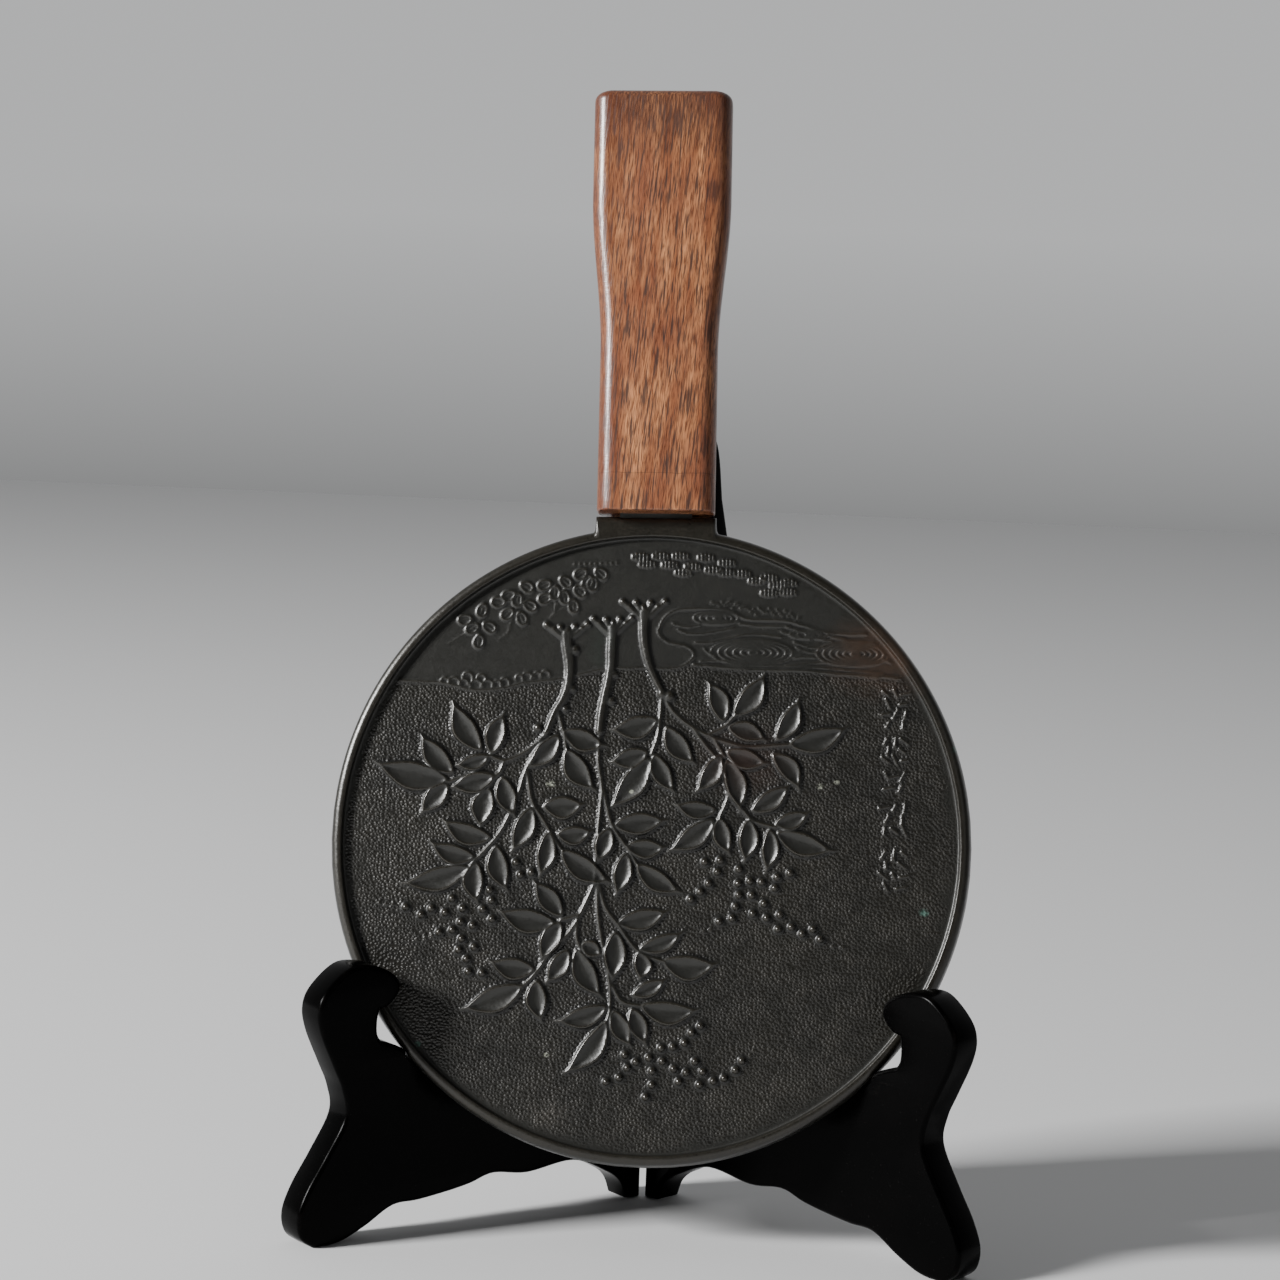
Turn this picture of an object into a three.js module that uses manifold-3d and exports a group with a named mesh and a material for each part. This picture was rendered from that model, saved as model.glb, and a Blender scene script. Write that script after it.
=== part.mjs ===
// A cast bronze hand mirror, its carved side forward, standing handle up in a folding lacquered stand.
// Millimetres, +Z up, the viewer looks along +Y. The origin is under the middle of the whole object.
import * as THREE from 'three';
import { mergeVertices } from 'three/addons/utils/BufferGeometryUtils.js';
import Module from 'manifold-3d';

const wasm = await Module();
wasm.setup();

// The gap that keeps touching pieces apart
const FIT_GAP = 0.3;

// The cast disc. Its reflecting back is flat, and its front face is narrower by the draft
const DISC_RADIUS = 75;
const RIM_THICKNESS = 4.5;
const RIM_WIDTH = 2.2;
const RIM_DRAFT = 0.6;
const RIM_ROUNDING = 0.5;
const FIELD_THICKNESS = 2.7;
const WALL_SLOPE = 0.4;

// The neck and the tang that runs on inside the handle
const NECK_WIDTH = 27.4;
const NECK_FLARE = 1.6;
const NECK_SHOWING = 2.7;
const TANG_LENGTH = 60;
const TANG_WIDTH = 17;
const TANG_TAPER = 4;
const TANG_THICKNESS = 3.2;

// The wooden handle
const HANDLE_LENGTH = 102.2;
const HANDLE_WIDTH = 27.8;
const HANDLE_END_WIDTH = 33;
const HANDLE_PROUD_FRONT = 5;
const HANDLE_PROUD_BACK = 2.3;
const HANDLE_EDGE_RADIUS = 4;
const HANDLE_CORNER_RADIUS = 2;
const HANDLE_END_BULGE = 1;
const HANDLE_FLARE_START = 39;
const HANDLE_FLARE_END = 76;

// The carving's heights above the field
const LEAF_EDGE_HEIGHT = 0.95;
const LEAF_HOLLOW_HEIGHT = 0.4;
const LEAF_TIP_HEIGHT = 0.6;
const STEM_HEIGHT = 0.8;
const TRUNK_HEIGHT = 1.2;
const LINE_HEIGHT = 0.4;
const LINE_WIDTH = 1.1;
const STEM_WIDTH = 1.3;
const BERRY_RADIUS = 1.05;
const MOSS_HEIGHT = 0.45;
const STROKE_WIDTH = 1.1;
const CARVING_ROOT = 0.3;

// The carving's layout was drawn for a disc of this radius, and it follows the real disc's size
const LAYOUT_RADIUS = 75;
const CARVING_SCALE = DISC_RADIUS / LAYOUT_RADIUS;

// The stand: two equal panels, pinned together down their back edges
const PANEL_ANGLE = 40;
const PANEL_THICKNESS = 8.8;
const PANEL_HEIGHT = 188;
const PANEL_SETBACK = 4.1;
const PANEL_EDGE_ROUNDING = 0.8;
const UPRIGHT_WIDTH = 9.2;
const PIN_RADIUS = 1.2;
const PIN_OVERHANG = 1.5;
const KNUCKLE_RADIUS = 3.6;
const KNUCKLE_LENGTH = 12;
const LOWER_KNUCKLE_HEIGHT = 62;
const UPPER_KNUCKLE_HEIGHT = 128;

// How the mirror stands in it
const MIRROR_LEAN = 12.5;
const MIRROR_TURN = 1.74;
const SEAT_REACH = 71;
const SEAT_HEIGHT = 39.3;
const FOOT_REACH = 30.5;
const PANEL_REACH = SEAT_REACH + FOOT_REACH;

// How finely curves are cut
const DISC_SEGMENTS = 72;
const CARVING_FINENESS = 0.05;
const BERRY_SEGMENTS = 5;
const PIN_SEGMENTS = 12;

const degrees = THREE.MathUtils.degToRad;

// Sprays of leaves: each leaf is its base, its tip, its width and how far its middle bows to the left
const LEAVES = {
  upperLeft: [
    [-47.6, 14.0, -65.1, 18.1, 6.0, 1.1], [-46.4, 15.7, -54.4, 24.9, 4.7, 0.8],
    [-39.9, 21.1, -47.1, 32.9, 5.1, 1.0], [-37.6, 20.3, -34.6, 30.3, 4.4, 0.5],
    [-37.9, 19.9, -46.3, 17.6, 3.4, 0.7], [-36.7, 15.3, -47.3, 12.4, 4.5, 0.6],
    [-47.6, 13.1, -54.0, 5.9, 4.4, 0.0], [-37.8, 12.2, -39.6, 2.6, 5.0, -0.7],
    [-35.0, 15.0, -31.4, 5.3, 4.5, -0.5],
  ],
  lowerLeft: [
    [-37.0, 0.6, -48.9, 5.0, 4.6, 1.4], [-40.7, -4.0, -51.7, -0.3, 4.2, 1.2],
    [-42.1, -6.3, -58.1, -10.3, 5.1, 1.2], [-40.4, -5.1, -39.7, -14.9, 4.6, -1.0],
    [-36.0, -1.1, -32.7, -12.0, 4.7, -0.9],
  ],
  leftTrunk: [
    [-21.7, 25.1, -29.3, 16.9, 4.4, 0.7], [-20.6, 26.0, -10.3, 22.7, 4.8, -0.8],
    [-20.0, 21.7, -12.6, 12.0, 5.2, -1.0], [-27.7, 8.0, -32.4, -2.7, 4.6, 0.6],
    [-25.0, 8.3, -15.1, 9.1, 5.0, -0.8], [-21.7, 1.7, -13.0, 3.0, 4.1, -0.9],
    [-23.7, 2.3, -25.7, -8.6, 4.1, 0.7], [-20.6, -2.0, -8.3, -9.4, 5.0, -1.0],
  ],
  middle: [
    [1.4, 29.0, -9.9, 26.6, 5.1, 1.0], [-0.7, 21.3, -9.9, 18.9, 4.4, 0.5],
    [-0.3, 20.0, -9.7, 7.9, 5.3, 0.9], [0.6, 20.9, 5.9, 11.7, 4.2, -0.6],
    [3.3, 27.3, 10.7, 18.6, 4.8, -0.8], [-8.3, 4.1, 4.3, 5.6, 4.7, -0.3],
    [-5.3, -0.7, 4.4, -0.6, 4.2, -0.8], [-9.3, 3.4, -12.1, -4.9, 4.1, 0.0],
    [-5.3, -2.3, -7.7, -12.6, 4.1, 0.4], [-2.9, -5.0, 8.1, -11.4, 4.5, -0.9],
  ],
  upperRight: [
    [16.9, 28.7, 12.7, 38.4, 4.4, -0.9], [19.3, 30.3, 26.4, 40.6, 5.0, -1.0],
    [17.9, 27.6, 27.3, 24.3, 4.2, 0.5], [29.3, 24.6, 34.4, 34.9, 4.3, -1.0],
    [32.3, 23.6, 46.1, 28.3, 5.2, -1.2], [17.6, 21.8, 27.7, 19.1, 4.3, -0.6],
    [28.4, 21.4, 34.9, 12.6, 4.3, 1.2], [16.3, 21.1, 10.4, 12.0, 4.3, 0.9],
    [17.6, 19.7, 21.0, 7.3, 4.7, 0.9],
  ],
  right: [
    [23.8, 7.9, 32.9, 14.6, 4.2, -0.6], [29.2, 4.9, 37.5, 8.2, 3.8, -0.7],
    [29.6, 3.1, 43.4, -1.0, 4.9, -1.0], [28.1, 3.9, 27.1, -6.6, 3.8, 0.7],
    [23.1, 6.0, 22.1, -4.3, 4.4, 0.6], [16.3, 6.3, 19.0, -2.6, 4.0, -0.6],
    [15.0, 5.9, 4.3, -1.7, 4.8, 0.9], [15.6, 8.0, 5.4, 9.4, 3.9, 0.8],
  ],
  lowerMiddle: [
    [-20.0, -17.3, -27.0, -9.1, 4.5, 0.0], [-21.7, -18.9, -35.3, -16.1, 5.2, 1.1],
    [-20.3, -18.6, -24.9, -28.0, 4.4, -0.2], [-26.1, -29.9, -37.1, -28.0, 4.7, 0.8],
    [-28.9, -33.7, -43.2, -39.3, 5.4, 0.8], [-25.7, -32.3, -24.1, -42.1, 4.6, -0.6],
    [-18.3, -25.1, -23.6, -33.0, 4.2, 0.4], [-15.3, -23.6, -10.3, -26.3, 3.5, 0.0],
    [-7.4, -20.7, -8.1, -32.6, 4.9, 0.3], [-6.9, -18.7, 5.0, -15.4, 4.6, -0.7],
    [-1.9, -24.7, 8.6, -20.1, 3.7, -0.9], [3.7, -27.3, 16.7, -27.4, 5.4, -1.6],
    [-2.1, -25.4, -1.9, -32.1, 4.0, 1.2], [-16.6, -25.0, -10.0, -36.2, 5.0, -1.0],
  ],
  bottom: [
    [-3.3, -35.4, 4.9, -31.1, 3.4, -0.5], [-1.3, -37.7, 12.7, -38.0, 5.0, -1.6],
    [-3.4, -38.3, 0.3, -47.1, 4.0, 0.0], [-7.7, -38.9, -3.1, -47.4, 4.1, -0.4],
    [-9.0, -38.0, -21.1, -41.6, 4.5, 1.1], [-9.1, -41.4, -19.0, -53.7, 4.8, 1.6],
  ],
};

// Three bunches of berries by their centres
const BERRIES = {
  left: [
    [-56.7, -15.9], [-53.0, -17.6], [-50.7, -16.1], [-47.4, -17.0], [-45.9, -13.7], [-43.3, -16.0],
    [-37.1, -11.6], [-36.6, -14.0], [-38.6, -16.1], [-36.4, -18.3], [-43.7, -19.1], [-40.9, -19.9],
    [-48.7, -21.6], [-45.6, -21.0], [-43.4, -23.0], [-40.4, -24.9], [-44.0, -25.6], [-42.1, -27.7],
    [-41.6, -30.6], [-38.4, -30.9], [-31.1, -5.0], [-30.0, -7.9], [-27.4, -7.3],
  ],
  right: [
    [13.0, -4.1], [16.6, -3.7], [16.0, -6.4], [14.0, -9.1], [12.1, -11.1], [9.9, -12.9], [21.0, -5.7],
    [20.9, -9.0], [23.6, -8.4], [26.3, -8.6], [29.9, -7.4], [32.9, -6.4], [29.4, -9.9], [21.1, -11.7],
    [24.1, -11.7], [27.0, -13.6], [20.4, -14.4], [24.4, -15.9], [27.6, -16.9], [30.7, -16.1],
    [19.6, -17.1], [16.6, -17.9], [30.3, -19.4], [33.4, -18.9], [35.9, -20.4], [38.4, -19.3],
    [40.1, -21.6],
  ],
  bottom: [
    [-4.7, -49.1], [-2.1, -50.7], [-4.1, -52.1], [-5.9, -54.4], [-8.9, -55.4], [0.9, -49.7],
    [3.7, -47.4], [6.4, -47.1], [9.1, -46.1], [10.7, -43.7], [12.7, -42.1], [4.0, -50.4],
    [1.7, -52.7], [1.7, -55.9], [0.3, -58.7], [6.7, -52.1], [9.6, -52.9], [7.9, -55.0],
    [11.6, -50.3], [13.4, -52.6], [12.7, -55.6], [15.9, -54.7], [18.4, -54.0], [21.0, -52.1],
    [22.4, -49.9],
  ],
};

// Trunks: the points of their middle lines, and their widths at the top and the foot
const TRUNKS = [
  { path: [[-20.6, 49.5], [-20.2, 46], [-19.6, 42], [-19.7, 38], [-20.8, 34], [-22.8, 30.5], [-24.8, 25.6]],
    widths: [2.6, 1.5] },
  { path: [[-9.6, 50.5], [-9.8, 46], [-9.9, 41], [-10.8, 36], [-11.8, 31], [-12.3, 26]], widths: [2.0, 2.6] },
  { path: [[-2.2, 55], [-2.3, 50], [-1.9, 46], [-0.9, 42], [0.8, 38.2], [2.6, 35]], widths: [1.8, 1.8] },
];

// The crowns of the trunks: where each one's stubs start, and where they end
const CROWNS = [
  { root: [-20.4, 48.4], ends: [[-25.3, 50.8], [-23.3, 51.9], [-21, 52.1], [-18.6, 52.2], [-16, 51.2]] },
  { root: [-9.8, 49.8], ends: [[-14.5, 52], [-12.6, 53.4], [-10.3, 53.8], [-7.9, 53.5], [-5.5, 52]] },
  { root: [-2.3, 53.6], ends: [[-7.6, 55.8], [-5.4, 57.4], [-3, 57.8], [-0.4, 57.8], [2.6, 56.4]] },
];
const STUB_WIDTH = 1.5;

// Knobs on the trunks' sides: centre and radius
const KNOBS = [
  [-18.7, 45, 1.1], [-18.9, 36, 0.9], [-26.6, 26.6, 1], [-9.3, 39.4, 0.9], [-9.5, 33.1, 0.9], [4, 34.6, 1.1],
];

// Stems of the sprays, each by the points of its middle line
const STEMS = [
  [[-25, 25], [-29.3, 21.2], [-34.3, 18.9], [-38, 20]],
  [[-34.3, 18.9], [-36.4, 15.2], [-41.5, 15.6], [-47.6, 13.6]],
  [[-25.2, 25.2], [-29.2, 17], [-31, 11], [-33.6, 4.8], [-36.3, 0.3], [-42, -6]],
  [[-29, 16.3], [-27.7, 9.5], [-24.9, 4.9], [-20.2, -2.4]],
  [[-22, 30.5], [-20.8, 26], [-19.8, 21.3]],
  [[-12.2, 26], [-12.3, 19], [-11.4, 13], [-11.8, 6], [-12.4, -2], [-12.6, -10]],
  [[-10.9, 12], [-10, 8], [-8.6, 3.7], [-5.3, -1], [-2.5, -5.5]],
  [[-12.7, -9.7], [-15, -15], [-18, -20.6], [-22.4, -25.6], [-26.2, -31], [-29, -33.8]],
  [[-16.1, -17], [-20.4, -18.2]],
  [[-16.4, -18], [-16.5, -22], [-14.8, -27]],
  [[-12, -10], [-11.6, -17], [-10.4, -24], [-8.6, -33], [-8.4, -38.4], [-9.2, -42]],
  [[-11.6, -9.8], [-10, -15], [-7, -19], [-2.2, -25], [3.7, -27.4]],
  [[-8, -33.2], [-5.6, -36.8], [-1.6, -37.7]],
  [[2.2, 34], [1.9, 29.5], [1.4, 25], [0, 20.8]],
  [[2.6, 34.6], [5, 31], [9, 27.7], [15, 24.8], [22, 23], [29, 23.4], [33, 23.7]],
  [[13.4, 25.7], [16.9, 27.5], [19.6, 30.4]],
  [[9.4, 27.5], [12.6, 23.3], [16.4, 18.5], [18.2, 12], [16.3, 6.2]],
  [[14.6, 24.8], [17.2, 20.6]],
  [[18, 12], [21.6, 8.2], [24.4, 5.6], [29.5, 4.2]],
];

// Lines of the far bank, the shore and the water
const WATER_LINES = [
  [[-59.5, 37.3], [-50, 37], [-42, 35.4], [-35, 36], [-30, 37.3], [-21.5, 38.4]],
  [[-18.2, 39], [-12, 40.7], [-3.5, 41.5], [2.5, 41.2], [6.4, 41.9], [9.4, 44.7], [8.2, 46.6], [5, 47.6]],
  [[3.5, 47.3], [1.2, 49.4], [2.9, 53.2], [7.5, 55.1], [15, 55.3], [22.5, 53.1], [33, 52.7], [40, 50.2],
    [52, 49.6]],
  [[24, 41.2], [35, 41.1], [45, 40.4], [57.5, 39.6]],
];

// Whirls in the water: centre, half-width and half-height of their outer ring
const WHIRLS = [[23, 44.6, 8.2, 2.7], [48, 45.3, 7.6, 2.4], [15.5, 52.3, 5.2, 1.8]];
const WHIRL_STEPS = 10;

// Small round-leaved plants under the rim: each leaf's middle, and the way it points in degrees
const ROUND_LEAVES = [
  [-41.0, 47.0, 80], [-38.9, 50.2, 150], [-42.8, 49.8, 30], [-40.7, 54.3, 70], [-31.2, 52.2, 115],
  [-34.6, 53.6, 40], [-29.3, 55.7, 150], [-32.0, 57.0, 80], [-30.5, 60.0, 150], [-34.5, 58.2, 20],
  [-23.4, 58.8, 80], [-21.0, 61.2, 140], [-18.9, 55.9, 100], [-17.5, 59.0, 140], [-17.8, 63.3, 30],
  [-15.2, 61.5, 80], [-12.6, 63.7, 140], [-26.2, 60.6, 20],
];
const ROUND_LEAF_LENGTH = 3.2;
const ROUND_LEAF_WIDTH = 2.5;

// Moss fans hanging under the rim: their middles and widths
const MOSS_FANS = [
  [-5.0, 67.6, 3.6], [-2.6, 66.0, 3.2], [0.8, 67.8, 3.6], [3.2, 65.8, 3.2], [6.8, 64.3, 4.4],
  [9.6, 65.8, 3.6], [12.3, 67.6, 3.6], [14.0, 64.7, 3.0], [17.0, 66.2, 3.8], [20.4, 64.0, 3.8],
  [24.6, 62.3, 4.2], [26.8, 59.8, 4.2], [30.8, 61.4, 3.4],
];
const MOSS_FAN_SHARE = 0.42;

// Rows of short chiselled strokes beside the rim: the rows' middles, and the slants in turn in degrees
const STROKE_COLUMN = 57;
const STROKE_ROWS = [36, 32.5, 29, 24.5, 21, 16.5, 13, 8.5, 5, 0, -3.5, -7, -10.5];
const STROKE_SLANTS = [62, -38, 12, 84, -64];
const STROKE_LENGTH = 2.3;
const STROKE_SPACING = 3.2;

// Turns a list of triangles into a closed solid with its faces out
function solidOf(geometry) {
  const bare = geometry.index ? geometry.toNonIndexed() : geometry.clone();
  bare.deleteAttribute('normal');
  bare.deleteAttribute('uv');
  const merged = mergeVertices(bare, 1e-4);
  const place = merged.getAttribute('position');
  const kept = [];
  let volume = 0;
  const [a, b, c] = [new THREE.Vector3(), new THREE.Vector3(), new THREE.Vector3()];
  for (let i = 0; i < merged.index.count; i += 3) {
    const corners = [0, 1, 2].map((k) => merged.index.getX(i + k));
    if (new Set(corners).size < 3) continue;
    a.fromBufferAttribute(place, corners[0]);
    b.fromBufferAttribute(place, corners[1]);
    c.fromBufferAttribute(place, corners[2]);
    volume += a.dot(b.cross(c));
    kept.push(corners);
  }
  if (volume < 0) kept.forEach((corners) => corners.reverse());
  return new wasm.Manifold(new wasm.Mesh({
    numProp: 3,
    vertProperties: new Float32Array(place.array),
    triVerts: new Uint32Array(kept.flat()),
  }));
}

// The three.js geometry of a solid, with flat facets
function geometryOf(solid) {
  const mesh = solid.getMesh();
  const geometry = new THREE.BufferGeometry();
  geometry.setAttribute('position', new THREE.BufferAttribute(mesh.vertProperties, 3));
  geometry.setIndex(new THREE.BufferAttribute(mesh.triVerts, 1));
  geometry.computeVertexNormals();
  return geometry;
}

// A skin through rings of equally many points, closed by a fan at each end
function loft(rings) {
  const corners = [];
  const count = rings[0].length;
  for (let i = 0; i + 1 < rings.length; i += 1) {
    for (let j = 0; j < count; j += 1) {
      const k = (j + 1) % count;
      corners.push(rings[i][j], rings[i][k], rings[i + 1][k]);
      corners.push(rings[i][j], rings[i + 1][k], rings[i + 1][j]);
    }
  }
  const last = rings[rings.length - 1];
  for (let j = 1; j + 1 < count; j += 1) {
    corners.push(rings[0][0], rings[0][j + 1], rings[0][j]);
    corners.push(last[0], last[j], last[j + 1]);
  }
  return new THREE.BufferGeometry().setFromPoints(corners);
}

// Points along a smooth curve through flat points, with the direction to its left
function stations(points, steps) {
  const curve = new THREE.CatmullRomCurve3(points.map(([u, v]) => new THREE.Vector3(u, v, 0)));
  return Array.from({ length: steps + 1 }, (_, i) => {
    const t = i / steps;
    const along = curve.getTangent(t);
    return { t, at: curve.getPoint(t), left: new THREE.Vector3(-along.y, along.x, 0) };
  });
}

// A point of the carving: beside its middle line by some millimetres, at a height above the field
function carved(station, beside, height) {
  const flat = station.at.clone().addScaledVector(station.left, beside).multiplyScalar(CARVING_SCALE);
  return flat.setZ(FIELD_THICKNESS + height);
}

// A ridge with a sharp crest: a stem, a trunk, a water line or a stroke
function ridge(points, steps, startWidth, endWidth, height) {
  return loft(stations(points, steps).map((station) => {
    const half = THREE.MathUtils.lerp(startWidth, endWidth, station.t) / 2;
    return [
      carved(station, half, -CARVING_ROOT),
      carved(station, 0, height),
      carved(station, -half, -CARVING_ROOT),
    ];
  }));
}

// A leaf with a raised edge and a hollowed middle
function leaf([baseU, baseV, tipU, tipV, width, bow]) {
  const along = new THREE.Vector2(tipU - baseU, tipV - baseV);
  const left = new THREE.Vector2(-along.y, along.x).normalize();
  const middle = [(baseU + tipU) / 2 + left.x * bow, (baseV + tipV) / 2 + left.y * bow];
  return loft(stations([[baseU, baseV], middle, [tipU, tipV]], 4).map((station) => {
    const open = Math.sin(Math.PI * station.t ** 0.9);
    const half = open < 0.01 ? 0 : (width / 2) * open ** 0.85;
    const edge = half === 0 ? LEAF_TIP_HEIGHT : LEAF_EDGE_HEIGHT;
    const hollow = half === 0 ? LEAF_TIP_HEIGHT : LEAF_HOLLOW_HEIGHT;
    return [
      carved(station, half, -CARVING_ROOT),
      carved(station, half * 0.9, edge),
      carved(station, 0, hollow),
      carved(station, -half * 0.9, edge),
      carved(station, -half, -CARVING_ROOT),
    ];
  }));
}

// A low dome, round or longer one way, turned by an angle in degrees
function dome(u, v, halfLength, halfWidth, height, angle, segments) {
  const shape = new THREE.SphereGeometry(1, segments, 4);
  shape.rotateX(Math.PI / 2);
  shape.scale(halfLength * CARVING_SCALE, halfWidth * CARVING_SCALE, height);
  shape.rotateZ(degrees(angle));
  shape.translate(u * CARVING_SCALE, v * CARVING_SCALE, FIELD_THICKNESS);
  return shape;
}

// A whirl of water: a ring-shaped ridge
function whirl([u, v, halfWidth, halfHeight]) {
  const ring = Array.from({ length: WHIRL_STEPS + 1 }, (_, i) => {
    const turn = (i / WHIRL_STEPS) * 2 * Math.PI;
    const outward = new THREE.Vector3(Math.cos(turn), Math.sin(turn), 0);
    return { at: new THREE.Vector3(u + halfWidth * outward.x, v + halfHeight * outward.y, 0), left: outward };
  });
  const half = LINE_WIDTH / 2;
  const rings = ring.map((station) => [
    carved(station, half, -CARVING_ROOT),
    carved(station, 0, LINE_HEIGHT),
    carved(station, -half, -CARVING_ROOT),
  ]);
  const corners = [];
  for (let i = 0; i < WHIRL_STEPS; i += 1) {
    for (let j = 0; j < 3; j += 1) {
      const k = (j + 1) % 3;
      corners.push(rings[i][j], rings[i][k], rings[(i + 1) % WHIRL_STEPS][k]);
      corners.push(rings[i][j], rings[(i + 1) % WHIRL_STEPS][k], rings[(i + 1) % WHIRL_STEPS][j]);
    }
  }
  return new THREE.BufferGeometry().setFromPoints(corners);
}

// The rows of short strokes: two or three in a row, each apart from the others and slanted its own way
function strokes() {
  return STROKE_ROWS.flatMap((row, i) => {
    const count = i % 3 === 1 ? 3 : 2;
    return Array.from({ length: count }, (_, k) => {
      const u = STROKE_COLUMN + (k - (count - 1) / 2) * STROKE_SPACING;
      const slant = degrees(STROKE_SLANTS[(2 * i + 3 * k) % STROKE_SLANTS.length]);
      const [du, dv] = [Math.cos(slant) * STROKE_LENGTH / 2, Math.sin(slant) * STROKE_LENGTH / 2];
      return ridge([[u - du, row - dv], [u + du, row + dv]], 1, STROKE_WIDTH, STROKE_WIDTH, LINE_HEIGHT);
    });
  });
}

// The plate with its raised rim, turned about the mirror's own axis
function plate() {
  const front = DISC_RADIUS - RIM_DRAFT;
  const inner = front - RIM_WIDTH;
  const profile = [
    [0, 0],
    [DISC_RADIUS - RIM_ROUNDING, 0],
    [DISC_RADIUS, RIM_ROUNDING],
    [front, RIM_THICKNESS - RIM_ROUNDING],
    [front - RIM_ROUNDING, RIM_THICKNESS],
    [inner, RIM_THICKNESS],
    [inner - WALL_SLOPE, FIELD_THICKNESS],
    [0, FIELD_THICKNESS],
  ].map(([radius, height]) => new THREE.Vector2(radius, height));
  return new THREE.LatheGeometry(profile, DISC_SEGMENTS).rotateX(Math.PI / 2);
}

// Where the handle starts, along the mirror from the disc's centre
const HANDLE_START = DISC_RADIUS + NECK_SHOWING;

// The neck, flaring into the rim, and the tang beyond it
function neck() {
  const half = NECK_WIDTH / 2;
  const rootRadius = DISC_RADIUS - RIM_DRAFT - RIM_WIDTH / 2;
  const root = Math.sqrt(rootRadius ** 2 - (half + NECK_FLARE) ** 2);
  const edge = Math.sqrt(DISC_RADIUS ** 2 - (half + NECK_FLARE) ** 2);
  const crown = Math.sqrt(rootRadius ** 2 - half ** 2 / 4);
  const end = HANDLE_START - FIT_GAP;
  const outline = new THREE.Shape();
  outline.moveTo(-half - NECK_FLARE, root);
  outline.lineTo(-half - NECK_FLARE, edge);
  outline.quadraticCurveTo(-half, (edge + DISC_RADIUS) / 2, -half, end);
  outline.lineTo(half, end);
  outline.quadraticCurveTo(half, (edge + DISC_RADIUS) / 2, half + NECK_FLARE, edge);
  outline.lineTo(half + NECK_FLARE, root);
  outline.quadraticCurveTo(0, 2 * crown - root, -half - NECK_FLARE, root);
  return new THREE.ExtrudeGeometry(outline, {
    depth: RIM_THICKNESS,
    bevelEnabled: false,
    curveSegments: 6,
  });
}

function tang(clearance) {
  const half = TANG_WIDTH / 2 + clearance;
  const start = DISC_RADIUS;
  const end = HANDLE_START + TANG_LENGTH + clearance;
  const outline = new THREE.Shape();
  outline.moveTo(-half, start);
  outline.lineTo(half, start);
  outline.lineTo(half - TANG_TAPER / 2, end);
  outline.lineTo(-half + TANG_TAPER / 2, end);
  outline.closePath();
  const shape = new THREE.ExtrudeGeometry(outline, {
    depth: TANG_THICKNESS + 2 * clearance,
    bevelEnabled: false,
  });
  return shape.translate(0, 0, (RIM_THICKNESS - TANG_THICKNESS) / 2 - clearance);
}

function carving() {
  const berry = ([u, v]) => dome(u, v, BERRY_RADIUS, BERRY_RADIUS, BERRY_RADIUS, 0, BERRY_SEGMENTS);
  const knob = ([u, v, radius]) => dome(u, v, radius, radius, radius, 0, BERRY_SEGMENTS);
  const crown = ({ root, ends }) => (
    ends.map((end) => ridge([root, end], 1, STUB_WIDTH, STUB_WIDTH, TRUNK_HEIGHT))
  );
  const roundLeaf = ([u, v, angle]) => (
    dome(u, v, ROUND_LEAF_LENGTH / 2, ROUND_LEAF_WIDTH / 2, MOSS_HEIGHT, angle, BERRY_SEGMENTS)
  );
  const moss = ([u, v, width]) => (
    dome(u, v, width / 2, width * MOSS_FAN_SHARE / 2, MOSS_HEIGHT, 0, BERRY_SEGMENTS)
  );
  return [
    ...Object.values(LEAVES).flat().map(leaf),
    ...Object.values(BERRIES).flat().map(berry),
    ...TRUNKS.map(({ path, widths }) => ridge(path, 6, widths[0], widths[1], TRUNK_HEIGHT)),
    ...CROWNS.flatMap(crown),
    ...KNOBS.map(knob),
    ...STEMS.map((path) => ridge(path, path.length + 1, STEM_WIDTH, STEM_WIDTH, STEM_HEIGHT)),
    ...WATER_LINES.map((path) => ridge(path, path.length + 1, LINE_WIDTH, LINE_WIDTH, LINE_HEIGHT)),
    ...WHIRLS.map(whirl),
    ...ROUND_LEAVES.map(roundLeaf),
    ...MOSS_FANS.map(moss),
    ...strokes(),
  ];
}

// The room inside the rim, from within the plate to well above the carving
function field() {
  const radius = DISC_RADIUS - RIM_DRAFT - RIM_WIDTH;
  const room = new THREE.CylinderGeometry(radius, radius, 2 * RIM_THICKNESS, DISC_SEGMENTS);
  return room.rotateX(Math.PI / 2).translate(0, 0, 1.5 * RIM_THICKNESS);
}

function mirror() {
  const carved = wasm.Manifold.union(carving().map(solidOf)).intersect(solidOf(field()));
  const cast = [plate(), neck(), tang(0)].map(solidOf);
  return wasm.Manifold.union([...cast, carved]).simplify(CARVING_FINENESS);
}

// A rounded oblong across the handle, at a distance along it, drawn in by an inset
function handleSection(along, width, inset) {
  const halfWidth = width / 2 - inset;
  const low = -HANDLE_PROUD_BACK + inset;
  const high = RIM_THICKNESS + HANDLE_PROUD_FRONT - inset;
  const radius = Math.max(HANDLE_EDGE_RADIUS - inset, 0.5);
  const corners = [[1, 1, 0], [-1, 1, 90], [-1, -1, 180], [1, -1, 270]];
  return corners.flatMap(([sideways, upward, start]) => [0, 30, 60, 90].map((step) => {
    const turn = degrees(start + step);
    const x = sideways * (halfWidth - radius) + radius * Math.cos(turn);
    const z = (upward > 0 ? high - radius : low + radius) + radius * Math.sin(turn);
    const bulge = HANDLE_END_BULGE * (1 - (2 * x / HANDLE_END_WIDTH) ** 2);
    const share = THREE.MathUtils.smoothstep(along, HANDLE_LENGTH / 2, HANDLE_LENGTH);
    return new THREE.Vector3(x, HANDLE_START + along + share * bulge, z);
  }));
}

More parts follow.
